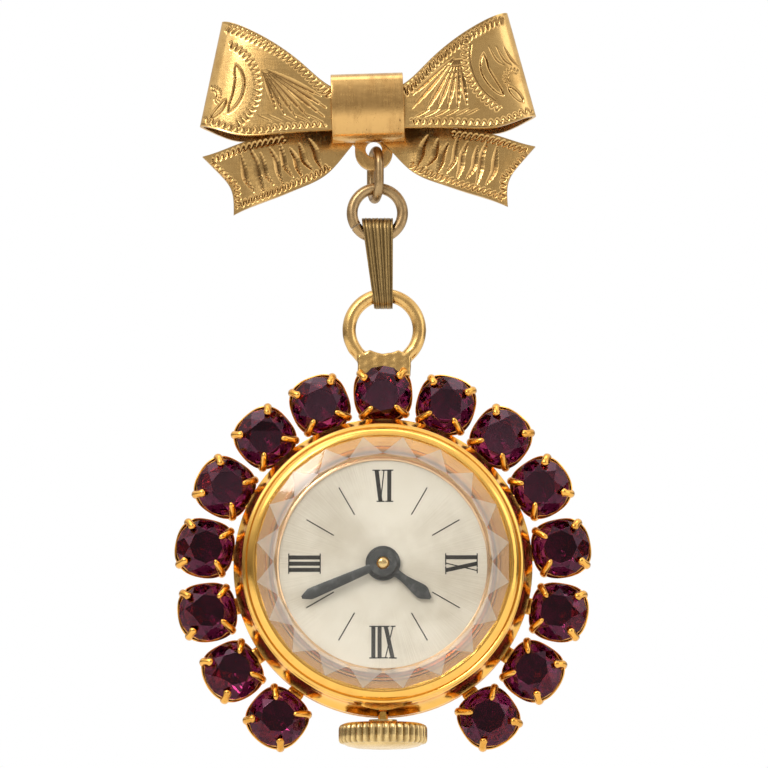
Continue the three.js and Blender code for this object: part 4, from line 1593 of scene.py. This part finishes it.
@dataclass
class StoneRing:
    """Fifteen claw-set stones round the case, with their frame and pendant, in millimetres."""

    count: int = 15
    pitch: float = math.radians(20.6)
    circle: float = 14.1
    drop: float = -0.3
    lean: float = math.radians(9)
    radius: float = 2.24
    table: float = 1.3
    table_depth: float = -1.05
    culet: float = 1.42
    claw_sides: int = 12
    pendant_radius: float = 2.78
    pendant_wire: float = 0.545
    pendant_grain: float = 0.075
    scoop_rise: float = 0.38
    saddle_half: float = 2.1
    most_spin: float = 9
    most_tip: float = 4
    strut_size: tuple[float, float, float] = (1.3, 0.6, 1.4)
    strut_place: tuple[float, float, float] = (0, 0.85, 12.1)
    inner_claw: tuple[float, float, float] = (1.38, -1.1, 0.2)
    outer_claw: tuple[float, float, float] = (1.92, -0.76, 0.36)

    def centre(self) -> Vector:
        """The watch axis at the chain's depth, found from the bezel and the jump ring."""
        return Vector((middle("bezel").x, middle("jump_ring").y, middle("bezel").z))

    def seat(self, index: int, spin: float = 0.0, tip: float = 0.0) -> Matrix:
        """The matrix that puts a stone, made about the origin, at its place.

        Args:
            index: places clockwise from the pendant.
            spin: a small turn about the stone's own axis.
            tip: a small extra lean.

        Returns:
            The matrix.
        """
        return (
            Matrix.Translation(self.centre() + Vector((0, 0, self.drop * MM)))
            @ Matrix.Rotation(index * self.pitch, 4, "Y")
            @ Matrix.Translation(Vector((0, 0, self.circle * MM)))
            @ Matrix.Rotation(self.lean + tip, 4, "X")
            @ Matrix.Rotation(spin, 4, "Y")
        )

    def cut_stone(self) -> Piece:
        """One stone: an eight-sided table, kite and girdle facets, and a pointed back."""
        rings = (
            (8, self.table, self.table_depth, 22.5), (8, 1.84, -0.66, 0.0),
            (16, self.radius, -0.14, 11.25), (16, self.radius, 0.06, 11.25),
            (8, 1.05, 0.82, 22.5), (3, 0.04, self.culet, 0.0),
        )
        piece = Bench.hull("cut_stone", rings, Vector())
        bpy.ops.mesh.dissolve_limited(angle_limit=math.radians(0.5))
        Bench.close(piece)
        return Bench.modify(
            piece, "BEVEL", width=0.012 * MM, segments=1, limit_method="ANGLE",
            angle_limit=math.radians(8),
        )

    def foil_cup(self) -> Piece:
        """The bright cone behind a stone that throws the light back."""
        rings = [(2.12, 0.14), (1.12, 0.93), (0.08, 1.52), (0.0, 1.52), (0.0, 1.58), (0.1, 1.58),
                 (1.18, 0.99), (2.18, 0.16)]
        return Bench.turn("foil_cup", rings, Vector(), 16, Axis.Y)

    def claw(self, reach: float, depth: float, bead: float) -> Piece:
        """A claw that rises beside the stone and folds over its edge to a bead.

        Args:
            reach: radius at which its tip rests.
            depth: place of its tip along the stone's axis.
            bead: half the thickness of its end.

        Returns:
            The claw, at the top of a stone about the origin.
        """
        course = [
            (1.7, 1.15), (2.1, 0.6), (2.4, 0.15), (2.46, -0.25), (2.36, -0.54),
            ((2.36 + reach) / 2, (-0.54 + depth) / 2 - 0.08), (reach + 0.12, depth - 0.03),
            (reach, depth),
        ]
        thickness = (0.18, 0.32, 0.36, 0.31, 0.27, 0.26, (bead + 0.26) / 2, bead)
        stations = []
        for step, (r, y) in enumerate(course):
            after = Vector(course[min(step + 1, len(course) - 1)])
            before = Vector(course[max(step - 1, 0)])
            along = (after - before).normalized()
            across = Vector((0, along.x, -along.y))
            ring = []
            for side in range(self.claw_sides + 1):
                angle = 2 * math.pi * side / self.claw_sides
                wide = Axis.X.value * math.cos(angle) * 1.05
                deep = across * math.sin(angle)
                ring.append(MM * (Vector((0, y, r)) + (wide + deep) * thickness[step]))
            ring[-1] = ring[0]
            stations.append(ring)
        end = MM * Vector((0, depth - 0.02, reach - 0.16))
        ahead = (end - MM * Vector((0, depth, reach))) * 0.5
        stations.append([spot.lerp(end, 0.45) + ahead for spot in stations[-1]])
        stations.append([end] * (self.claw_sides + 1))
        piece = Bench.sheet("claw", stations)
        Bench.close(piece)
        Bench.edit(piece)
        bpy.ops.mesh.select_non_manifold()
        bpy.ops.mesh.fill()
        Bench.close(piece)
        return Bench.modify(piece, "SUBSURF", levels=1, render_levels=1)

    def cup(self) -> Piece:
        """The open cone that a stone sits in, its rim scalloped between the claws."""
        piece = Bench.turn("setting_cup", [
            (2.19, 0.1), (2.26, 0.05), (2.33, 0.12), (2.2, 0.4), (1.88, 0.85), (1.46, 1.3), (1.36, 1.3),
            (1.78, 0.78), (2.1, 0.32),
        ], Vector(), 64)
        places = Bench.places(piece)
        angle = np.arctan2(places[:, 0], places[:, 2])
        rim = np.clip((0.75 - places[:, 1] / MM) / 0.6, 0, 1)
        corner = rim * (1 - np.cos(4 * angle)) / 2
        places[:, 1] += rim * np.cos(4 * angle) * 0.17 * MM
        places[:, (0, 2)] *= (1 + 0.08 * corner)[:, None]
        Bench.put(piece, places)
        return piece

    def setting(self) -> Piece:
        """A cup with two short outer claws and two long inner ones."""
        parts = [self.cup()]
        for eighth in (1, 3, 5, 7):
            inner = eighth in (3, 5)
            claw = self.claw(*(self.inner_claw if inner else self.outer_claw))
            turn = Matrix.Rotation(eighth * math.pi / 4, 4, "Y")
            parts.append(Bench.copy(claw, "claw_copy", turn))
            bpy.data.objects.remove(claw)
        return Bench.join("setting", parts)

    def frame_ring(self) -> list[Piece]:
        """The ring behind the flange, and a soldered strut to each setting."""
        centre = self.centre()
        ring = Bench.turn("frame_ring", [
            (11.02, 0.4), (11.08, 0.35), (11.62, 0.35), (11.7, 0.43), (11.7, 1.17), (11.62, 1.25),
            (11.08, 1.25), (11.02, 1.19),
        ], centre, 120)
        parts = [ring]
        reach = (self.count - 1) // 2
        for index in range(-reach, reach + 1):
            strut = Bench.block("strut", self.strut_size, Vector(self.strut_place) * MM)
            Bench.modify(strut, "BEVEL", width=0.18 * MM, segments=2)
            strut.data.transform(
                Matrix.Translation(centre + Vector((0, 0, self.drop * MM)))
                @ Matrix.Rotation(index * self.pitch, 4, "Y")
            )
            parts.append(strut)
        return parts

    def pendant(self) -> Piece:
        """The ring that the watch hangs by, run together with its saddle."""
        low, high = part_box("pendant_ring")
        centre = Vector((
            middle("pendant_ring").x, self.centre().y,
            high.z - (self.pendant_radius + self.pendant_wire) * MM,
        ))
        ring = Bench.wire("pendant", centre, self.pendant_radius, self.pendant_wire)
        foot = Vector((centre.x, centre.y + 0.05 * MM, low.z + 0.35 * MM))
        saddle = Bench.block("saddle", (2 * self.saddle_half, 1.25, 2.4), foot, cuts=4)
        places = Bench.places(saddle)
        across = (places[:, 0] - centre.x) / (self.saddle_half * MM)
        rise = (places[:, 2] - low.z) / MM
        places[:, 2] -= np.where(rise > 0.4, np.abs(across) ** 2 * 0.95 * MM * rise / 1.5, 0)
        Bench.put(saddle, places)
        hollow = Bench.turn("hollow", [
            (0, -2), (self.pendant_radius - self.pendant_wire * 0.85, -2),
            (self.pendant_radius - self.pendant_wire * 0.85, 2), (0, 2),
        ], centre + Vector((0, 0, self.scoop_rise * MM)), 64, ring=False)
        Bench.carve(saddle, hollow)
        Bench.carve(ring, saddle, "UNION")
        Bench.modify(ring, "REMESH", mode="VOXEL", voxel_size=self.pendant_grain * MM)
        Bench.modify(ring, "SMOOTH", factor=0.6, iterations=14)
        self.lump(ring, low.z)
        ring.name = ring.data.name = "pendant_with_saddle"
        return Bench.smooth(ring, 80)

    def lump(self, piece: Piece, foot: float) -> None:
        """Give the soldered end of the pendant a slightly uneven surface.

        Args:
            piece: the pendant.
            foot: height of its lower end, in metres.
        """
        places = Bench.places(piece)
        near = np.clip(1.4 - (places[:, 2] - foot) / (1.5 * MM), 0, 1)
        x, z = places[:, 0] / MM, places[:, 2] / MM
        wave = np.sin(5.1 * x + 2.3 * z) + np.sin(3.7 * x - 6.1 * z + 1.0) + np.sin(8.3 * x + 1.2)
        Bench.put(piece, places + Bench.normals(piece) * (near * wave * 0.012 * MM)[:, None])

    def build(self) -> None:
        """Model and dress the stones, their settings and the pendant."""
        setting, stone, cup = self.setting(), self.cut_stone(), self.foil_cup()
        reach = (self.count - 1) // 2
        parts = self.frame_ring()
        for index in range(-reach, reach + 1):
            wobble = math.sin(12.9898 * (index + 9)) * 0.5
            spin = math.radians(self.most_spin * wobble)
            tip = math.radians(self.most_tip * math.sin(4.1 * index + 1))
            parts.append(Bench.copy(setting, "setting_copy", self.seat(index, spin, tip)))
            name = f"stone_{index + reach + 1:02d}"
            gem = Bench.copy(stone, "cut_" + name, self.seat(index, spin * 4, tip))
            lining = Bench.copy(cup, "lining_" + name, self.seat(index, spin * 4, tip))
            Bench.fit(gem, AMETHYST_GLASS, Slot.AMETHYST, name)
            Bench.fit(lining, FOIL, Slot.AMETHYST, body=body_of(name))
        for draft in (setting, stone, cup):
            bpy.data.objects.remove(draft)
        settings = Bench.smooth(Bench.join("claw_settings", parts), 55)
        Bench.fit(settings, CLAW_GILT, Slot.GILT, "claw_frame")
        Bench.fit(self.pendant(), PENDANT_GILT, Slot.GILT, "pendant_ring")


# ------------------------------------------------------------------ case


@dataclass
class Case:
    """The polished band, bezel, faceted crystal, back and crown, in millimetres."""

    centre: Vector
    steps: int = 160
    facets: int = 20
    facet_inner: float = 8.45
    facet_outer: float = 9.86
    flutes: int = 36
    flute_depth: float = 0.17
    stem_bore: float = 0.5

    def band(self) -> Piece:
        """Turn the middle of the case and scoop it out for a fingernail."""
        piece = Bench.turn("polished_band", [
            (9.0, -3.35), (10.68, -3.35), (10.76, -3.28), (10.8, -3.0), (10.86, -2.85), (10.98, -2.78),
            (11.02, -2.6), (11.04, -2.2), (11.14, -1.75), (11.34, -1.3), (11.6, -0.98), (11.68, -0.9),
            (11.7, -0.8), (11.7, -0.42), (11.64, -0.33), (10.96, 0.08), (10.9, 0.14), (10.9, 1.32),
            (10.84, 1.4), (10.6, 1.58), (10.5, 1.6), (9.0, 1.6),
        ], self.centre, self.steps)
        scoop = Bench.turn("scoop", [(0, -1.5), (2.6, -1.5), (2.6, 1.5), (0, 1.5)],
                           self.centre + MM * Vector((0, -4.12, -11.85)), 96, Axis.Z, ring=False)
        Bench.carve(piece, scoop)
        bore = Bench.turn("bore", [(0, -3.5), (0.47, -3.5), (0.47, 3.5), (0, 3.5)],
                          self.centre + MM * Vector((0, -0.9, -10.5)), 32, Axis.Z, ring=False)
        Bench.carve(piece, bore)
        return Bench.smooth(piece, 28)

    def bezel(self) -> Piece:
        """Turn the bezel: a bead, a fine groove and a slope down to the crystal."""
        piece = Bench.turn("turned_bezel", [
            (9.92, -4.56), (9.9, -3.95), (9.32, -3.95), (9.3, -3.5), (9.34, -3.45), (10.76, -3.45),
            (10.86, -3.5), (10.92, -3.62), (10.94, -3.8), (10.91, -3.98), (10.83, -4.1), (10.72, -4.16),
            (10.64, -4.14), (10.6, -4.11), (10.56, -4.18), (10.48, -4.33), (10.36, -4.47),
            (10.2, -4.57), (10.05, -4.62), (9.96, -4.61),
        ], self.centre, self.steps)
        return Bench.smooth(piece, 24)

    def crystal(self) -> Piece:
        """The domed crystal, whose rim is cut in triangles, as a thin shell."""
        turn = 180 / self.facets
        rings = (
            (64, 0.9, -5.4, 0.0), (64, 2.6, -5.375, 0.0), (64, 4.6, -5.31, 0.0), (64, 6.6, -5.2, 0.0),
            (60, 8.0, -5.07, 0.0), (self.facets, self.facet_inner, -5.0, 0.0),
            (self.facets, self.facet_outer, -4.6, turn), (96, 9.84, -4.42, 0.0),
            (96, 9.84, -4.06, 0.0),
        )
        piece = Bench.hull("faceted_crystal", rings, self.centre)
        bpy.ops.object.mode_set(mode="OBJECT")
        hollow = Bench.turn("hollow", [
            (0, -5.0), (3, -4.96), (6, -4.85), (8.2, -4.66), (9.0, -4.2), (9.05, -4.0), (0, -4.0),
        ], self.centre, 96, ring=False)
        Bench.carve(piece, hollow)
        return Bench.smooth(Bench.close(piece), 4)

    def dress_facets(self, piece: Piece) -> None:
        """Give the two kinds of triangle at the crystal's rim their own tinted copies of the acrylic, as
        painted reflections: pale grey and rose.

        Args:
            piece: the crystal.
        """
        piece.data.materials.append(FACET_PAINTED_PALE_REFLECTION.material())
        piece.data.materials.append(FACET_PAINTED_ROSE_REFLECTION.material())
        inner, outer = (radius * MM for radius in (self.facet_inner, self.facet_outer))
        for face in piece.data.polygons:
            corners = [piece.data.vertices[index].co - self.centre for index in face.vertices]
            radii = [math.hypot(corner.x, corner.z) for corner in corners]
            on_rim = all(inner - FACET_SLACK < radius < outer + FACET_SLACK for radius in radii)
            if face.normal.y < -0.5 and on_rim and len(corners) < 6:
                far = sum(radius > (inner + outer) / 2 for radius in radii)
                face.material_index = 1 if far < 2 else 2

    def back(self) -> Piece:
        """Turn the pressed-on back, with a lip, a lifting step and two fine rings."""
        piece = Bench.turn("pressed_back", [
            (0, 2.6), (6.9, 2.6), (7.0, 2.56), (7.1, 2.6), (8.6, 2.6), (8.9, 2.58), (10.3, 2.28),
            (10.75, 2.02), (10.88, 1.88), (10.9, 1.76), (10.86, 1.7), (8.9, 1.7), (8.6, 2.1), (0, 2.1),
        ], self.centre, self.steps, ring=False)
        return Bench.smooth(piece, 20)

    def crown(self) -> Piece:
        """Turn the crown with its domed end and press the flutes into its rim."""
        low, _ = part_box("crown")
        foot = low.z / MM
        centre = Vector((middle("crown").x, middle("crown").y, 0))
        bore = self.stem_bore
        piece = Bench.turn("fluted_crown", [
            (0, foot - 0.02), (1.2, foot), (2.1, foot + 0.06), (2.75, foot + 0.2), (2.95, foot + 0.3),
            (3.02, foot + 0.36), (3.2, foot + 0.38), (3.36, foot + 0.46), (3.45, foot + 0.62),
            (3.46, foot + 1.0), (3.46, foot + 1.4), (3.44, foot + 1.62), (3.34, foot + 1.8),
            (3.15, foot + 1.9), (2.9, foot + 1.98), (2.0, foot + 2.02), (1.1, foot + 2.02),
            (1.1, foot + 2.25), (bore, foot + 2.25), (bore, foot + 0.8), (0, foot + 0.8),
        ], centre, self.flutes * 8, Axis.Z, ring=False)
        places = Bench.places(piece)
        x, y = places[:, 0] - centre.x, places[:, 1] - centre.y
        radius = np.hypot(x, y)
        rim = np.clip((radius / MM - 3.05) / 0.25, 0, 1)
        groove = np.abs(np.cos(np.arctan2(y, x) * self.flutes / 2)) ** 3
        factor = 1 - rim * groove * self.flute_depth * MM / np.maximum(radius, MM)
        places[:, 0] = centre.x + x * factor
        places[:, 1] = centre.y + y * factor
        Bench.put(piece, places)
        # The flutes' cut values darken them in the finish, as painted shade.
        Bench.mark_cuts(piece, rim * groove)
        return Bench.smooth(piece, 50)

    def build(self) -> None:
        """Model and dress the pieces of the case."""
        Bench.fit(self.band(), CASE_GILT, Slot.GILT, "case_band")
        Bench.fit(self.bezel(), CASE_GILT, Slot.GILT, "bezel")
        Bench.fit(self.back(), CASE_GILT, Slot.GILT, "case_back")
        crystal = Bench.fit(self.crystal(), CRYSTAL_ACRYLIC, Slot.ACRYLIC, "crystal")
        self.dress_facets(crystal)
        Bench.fit(self.crown(), CROWN_GOLD, Slot.CHAMPAGNE, "crown")


# ------------------------------------------------------------------ dial and hands


class Glyph(Enum):
    """A letter of a Roman numeral: its width, then strokes of (foot, head, half width)."""

    ONE = (0.32, ((0.16, 0.16, 0.158),))
    FIVE = (0.82, ((0.46, 0.15, 0.16), (0.46, 0.73, 0.045)))
    TEN = (0.84, ((0.7, 0.15, 0.16), (0.12, 0.72, 0.045)))


@dataclass
class Face:
    """The silvered dial, its numerals and lines, and the two hands, in millimetres."""

    centre: Vector
    numeral_radius: float = 6.07
    numeral_height: float = 2.5
    letter_gap: float = 0.16
    serif_reach: float = 0.15
    print_thickness: float = 0.012
    serif: float = 0.09
    print_depth: float = -3.212
    line_inner: float = 4.4
    line_outer: float = 6.85
    line_half: float = 0.045
    minute_angle: float = math.radians(-113.3)
    hour_angle: float = math.radians(126.4)

    def stroke(self, foot: Point, head: Point, half_foot: float, half_head: float) -> Piece:
        """One printed stroke: a thin plate between two points, its ends level.

        Args:
            foot: its lower end, right and up of the letter's origin.
            head: its upper end.
            half_foot: half its width at the foot.
            half_head: half its width at the head.

        Returns:
            The stroke, flat in the X-Z plane.
        """
        corners = [
            [Vector((foot[0] - half_foot, 0, foot[1])), Vector((foot[0] + half_foot, 0, foot[1]))],
            [Vector((head[0] - half_head, 0, head[1])), Vector((head[0] + half_head, 0, head[1]))],
        ]
        return Bench.sheet("stroke", [[MM * spot for spot in row] for row in corners])

    def numeral(self, letters: Sequence[Glyph], hour: int) -> list[Piece]:
        """A numeral with its head outwards, at its hour.

        Args:
            letters: its letters, from the left.
            hour: the hour.

        Returns:
            The strokes.
        """
        half = self.numeral_height / 2
        width = sum(letter.value[0] for letter in letters) + self.letter_gap * (len(letters) - 1)
        strokes = []
        left = -width / 2
        for letter in letters:
            letter_width, lines = letter.value
            for foot, head, thick in lines:
                strokes.append(self.stroke((left + foot, -half), (left + head, half), thick, thick))
                for x, z in ((foot, -half + self.serif / 2), (head, half - self.serif / 2)):
                    reach = thick + self.serif_reach
                    strokes.append(self.stroke(
                        (left + x, z - self.serif / 2), (left + x, z + self.serif / 2), reach, reach
                    ))
            left += letter_width + self.letter_gap
        return self.place(strokes, self.numeral_radius, hour)

    def place(
        self, strokes: Sequence[Piece], radius: float, hour: int
    ) -> list[Piece]:
        """Move strokes out to a radius and round to an hour of the upside-down dial.

        Args:
            strokes: strokes about the origin.
            radius: the radius, in millimetres.
            hour: the hour.

        Returns:
            The same strokes.
        """
        angle = math.pi + hour * math.pi / 6
        move = (
            Matrix.Translation(self.centre + Vector((0, self.print_depth * MM, 0)))
            @ Matrix.Rotation(angle, 4, "Y")
            @ Matrix.Translation(Vector((0, 0, radius * MM)))
        )
        for stroke in strokes:
            stroke.data.transform(move)
        return list(strokes)

    def printing(self) -> Piece:
        """All the numerals and lines, as one thin raised print."""
        one, five, ten = Glyph.ONE, Glyph.FIVE, Glyph.TEN
        parts = []
        hours = {12: (ten, one, one), 3: (one, one, one), 6: (five, one), 9: (one, ten)}
        for hour, letters in hours.items():
            parts += self.numeral(letters, hour)
        length = self.line_outer - self.line_inner
        for hour in (1, 2, 4, 5, 7, 8, 10, 11):
            line = self.stroke((0, 0), (0, length), self.line_half, self.line_half)
            parts += self.place([line], self.line_inner, hour)
        piece = Bench.join("dial_print", parts)
        Bench.modify(piece, "SOLIDIFY", thickness=self.print_thickness * MM, offset=0.0)
        Bench.edit_all(piece)
        bpy.ops.mesh.normals_make_consistent(inside=False)
        bpy.ops.object.mode_set(mode="OBJECT")
        return piece

    def hand(
        self, name: str, hub: float, bore: float, low: float, high: float,
        widths: Sequence[Point], angle: float,
    ) -> Piece:
        """A hand: a turned hub and a blade with a soft ridge.

        Args:
            name: the piece's name.
            hub: radius of the hub.
            bore: radius of its hole.
            low: depth of its front.
            high: depth of its back.
            widths: [distance from the centre, half width] along the blade.
            angle: the way it points, clockwise from the pendant.

        Returns:
            The hand.
        """
        wall = Bench.turn(name, [
            (bore, high), (bore, low + 0.03), (bore + 0.05, low), (hub - 0.08, low), (hub, low + 0.05),
            (hub, high),
        ], self.centre, 64)
        stations = []
        for along, half in widths:
            stations.append([
                self.centre + MM * Vector((side * half, low + (0.0 if abs(side) < 0.7 else 0.05), along))
                for side in (-1, -0.6, 0.6, 1)
            ])
        blade = Bench.sheet("blade", stations)
        Bench.modify(blade, "SOLIDIFY", thickness=(high - low - 0.05) * MM, offset=1.0)
        Bench.close(blade)
        places = Bench.places(blade)
        places[:, 1] += self.centre.y + low * MM - places[:, 1].min()
        Bench.put(blade, places)
        turn = (
            Matrix.Translation(self.centre) @ Matrix.Rotation(angle, 4, "Y")
            @ Matrix.Translation(-self.centre)
        )
        blade.data.transform(turn)
        return Bench.smooth(Bench.join(name, [wall, blade]), 30)

    def build(self) -> None:
        """Model and dress the dial, its print and the hands."""
        dial = Bench.turn("silvered_dial", [
            (0.95, -2.9), (0.95, -3.2), (8.7, -3.2), (8.75, -3.15), (8.75, -2.9),
        ], self.centre, 128)
        silver = DialFinish("silvered_dial", self.centre)
        Bench.fit(Bench.smooth(dial, 30), silver, Slot.SILVERED, "dial")
        Bench.fit(self.printing(), DIAL_INK, Slot.SILVERED, body=body_of("dial"))
        ring = Bench.turn("inner_ring", [
            (8.02, -3.22), (8.04, -3.34), (8.14, -3.4), (8.26, -3.36), (8.32, -3.42), (8.62, -3.92),
            (8.95, -3.32), (8.9, -3.22),
        ], self.centre, 144)
        Bench.fit(Bench.smooth(ring, 25), ROSE_RING, Slot.CHAMPAGNE, "dial_ring")
        hour = self.hand("hour_hand_finished", 1.35, 0.82, -3.66, -3.5, [
            (1.1, 0.3), (1.55, 0.26), (2.1, 0.27), (2.7, 0.38), (3.3, 0.5), (3.7, 0.55), (3.95, 0.48),
            (4.3, 0.22), (4.56, 0.03),
        ], self.hour_angle)
        Bench.fit(hour, HAND_BLACK, Slot.BLACKENED, "hour_hand")
        minute = self.hand("minute_hand_finished", 1.1, 0.5, -4.0, -3.86, [
            (0.85, 0.28), (1.5, 0.29), (3.0, 0.34), (4.6, 0.39), (5.8, 0.42), (6.15, 0.41), (6.55, 0.2),
            (6.8, 0.03),
        ], self.minute_angle)
        Bench.fit(minute, HAND_BLACK, Slot.BLACKENED, "minute_hand")
        cap = Bench.turn("pivot_cap", [
            (0, -4.16), (0.2, -4.15), (0.34, -4.11), (0.41, -4.04), (0.41, -3.96), (0, -3.96),
        ], self.centre, 40, ring=False)
        Bench.fit(
            Bench.smooth(cap, 50), CROWN_GOLD, Slot.CHAMPAGNE, body=body_of("minute_hand")
        )


# ------------------------------------------------------------------ movement


@dataclass
class Works:
    """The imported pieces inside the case, which keep their shapes and get their finishes."""

    steel: tuple[str, ...] = (
        "ratchet_wheel", "crown_wheel", "pallet_lever", "hairspring", "winding_pinion",
        "setting_lever",
    )
    gilt: tuple[str, ...] = ("winding_stem", "cannon_pinion")

    def build(self) -> None:
        """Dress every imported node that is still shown."""
        for name, node in frame["nodes"].items():
            if node.hide_render:
                continue
            finish = PIN_STEEL if name in self.steel else WORKS_BRASS
            if name in self.gilt:
                finish = CASE_GILT
            node.data.materials.clear()
            node.data.materials.append(finish.material())
            LOG.info("%s keeps its packed shape, in %s", name, finish.name)


# ------------------------------------------------------------------ studio


@dataclass
class Studio:
    """Floor, lights, surroundings and camera."""

    target: Vector = field(default_factory=lambda: MM * Vector((1.31, -2.0, -22.236)))
    rise: float = math.radians(-8.3)
    distance: float = 320 * MM
    lens: float = 190.5
    floor_level: float = -75 * MM
    floor_size: float = 5.0
    panels: dict[str, tuple[Colour, Point, float, Colour]] = field(default_factory=lambda: {
        "key_light": ((-0.25, -0.28, 0.3), (0.3, 0.3), 0.5, (1.0, 0.97, 0.92)),
        "fill_light": ((0.4, -0.2, 0.05), (0.25, 0.4), 0.35, (1.0, 0.98, 0.96)),
        "window_light": ((-0.16, -0.34, 0.2), (0.09, 0.13), 0.45, (1.0, 0.98, 0.95)),
        "top_light": ((0.0, -0.02, 0.4), (0.5, 0.2), 0.6, (1.0, 0.99, 0.97)),
    })

    def floor(self) -> None:
        """A pale plain floor, well below the hanging watch."""
        Bench.clear()
        bpy.ops.mesh.primitive_grid_add(
            x_subdivisions=24, y_subdivisions=24, size=self.floor_size,
            location=(0, 0, self.floor_level),
        )
        floor = Bench.named("studio_floor")
        bpy.ops.object.transform_apply(location=True, rotation=True, scale=True)
        material, tree, shader, place = new_material("studio_floor")
        grain = tree.noise(place, 0.02, 4.0)
        tree.feed(
            shader, Base_Color=tree.blend(grain, rgba((0.82, 0.815, 0.8)), rgba((0.78, 0.775, 0.76))),
            Roughness=0.9,
        )
        floor.data.materials.append(material)

    def panel(self, name: str, place: Vector, size: Point, power: float, tint: Colour) -> None:
        """A soft light that faces the watch.

        Args:
            name: its name.
            place: its place, in metres.
            size: its width and height, in metres.
            power: its power, in watts.
            tint: its colour.
        """
        Bench.clear()
        bpy.ops.object.light_add(type="AREA", location=place)
        light = bpy.context.object
        light.name = name
        light.data.shape = "RECTANGLE"
        light.data.size, light.data.size_y = size
        light.data.energy = power
        light.data.color = tint
        light.rotation_mode = "QUATERNION"
        light.rotation_quaternion = (self.target - place).to_track_quat("-Z", "Y")

    def surroundings(self) -> None:
        """White to look at, and a room of soft light and shade to be reflected."""
        world = bpy.data.worlds.new("studio")
        bpy.context.scene.world = world
        world.use_nodes = True
        tree = Tree(world.node_tree)
        world.node_tree.nodes.clear()
        direction = tree.add("TexCoord").outputs["Generated"]
        parts = tree.add("SeparateXYZ")
        tree.feed(parts, Vector=direction)
        high = tree.spread(parts.outputs[2], -0.15, 0.55)
        room = tree.blend(high, rgba((0.34, 0.305, 0.265)), rgba((1.05, 1.02, 0.98)))
        front = tree.spread(parts.outputs[1], -1.0, -0.55, 0.8, 0.0)
        room = tree.blend(front, room, rgba((0.36, 0.325, 0.29)))
        beside = tree.spread(tree.math("ABSOLUTE", parts.outputs[0]), 0.3, 0.75)
        beside = tree.math("MULTIPLY", beside, tree.math("SUBTRACT", 1.0, high))
        room = tree.blend(beside, room, rgba((0.12, 0.10, 0.085)))
        seen, cast = tree.add("Background"), tree.add("Background")
        tree.feed(seen, Color=rgba((1.0, 1.0, 1.0)), Strength=1.0)
        tree.feed(cast, Color=room, Strength=1.0)
        mix = tree.add("MixShader")
        is_camera = tree.add("LightPath").outputs["Is Camera Ray"]
        tree.feed(mix, n0=is_camera, n1=cast.outputs[0], n2=seen.outputs[0])
        tree.feed(tree.add("OutputWorld"), n0=mix.outputs[0])

    def camera(self) -> None:
        """The camera, a long lens that looks slightly up."""
        back = Vector((0, -math.cos(self.rise), math.sin(self.rise)))
        Bench.clear()
        bpy.ops.object.camera_add(location=self.target + back * self.distance)
        camera = bpy.context.object
        camera.name = "studio_camera"
        camera.data.lens = self.lens
        camera.data.sensor_width = 36
        camera.data.clip_start, camera.data.clip_end = 0.01, 10
        camera.rotation_mode = "QUATERNION"
        camera.rotation_quaternion = (-back).to_track_quat("-Z", "Y")
        bpy.context.scene.camera = camera

    def build(self) -> None:
        """Set up the whole studio."""
        self.camera()
        self.floor()
        self.surroundings()
        for name, (place, size, power, tint) in self.panels.items():
            self.panel(name, Vector(place), size, power, tint)
        bpy.context.scene.view_settings.view_transform = "Standard"
        bpy.context.scene.view_settings.look = "None"


def main() -> None:
    """Build the brooch, the chain, the watch and the studio, in that order."""
    logging.basicConfig(level=logging.INFO, format="%(message)s")
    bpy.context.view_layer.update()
    Brooch().build()
    Chain().build()
    stones = StoneRing()
    stones.build()
    Case(stones.centre()).build()
    Face(stones.centre()).build()
    Works().build()
    Studio().build()


if __name__ == "__main__":
    main()
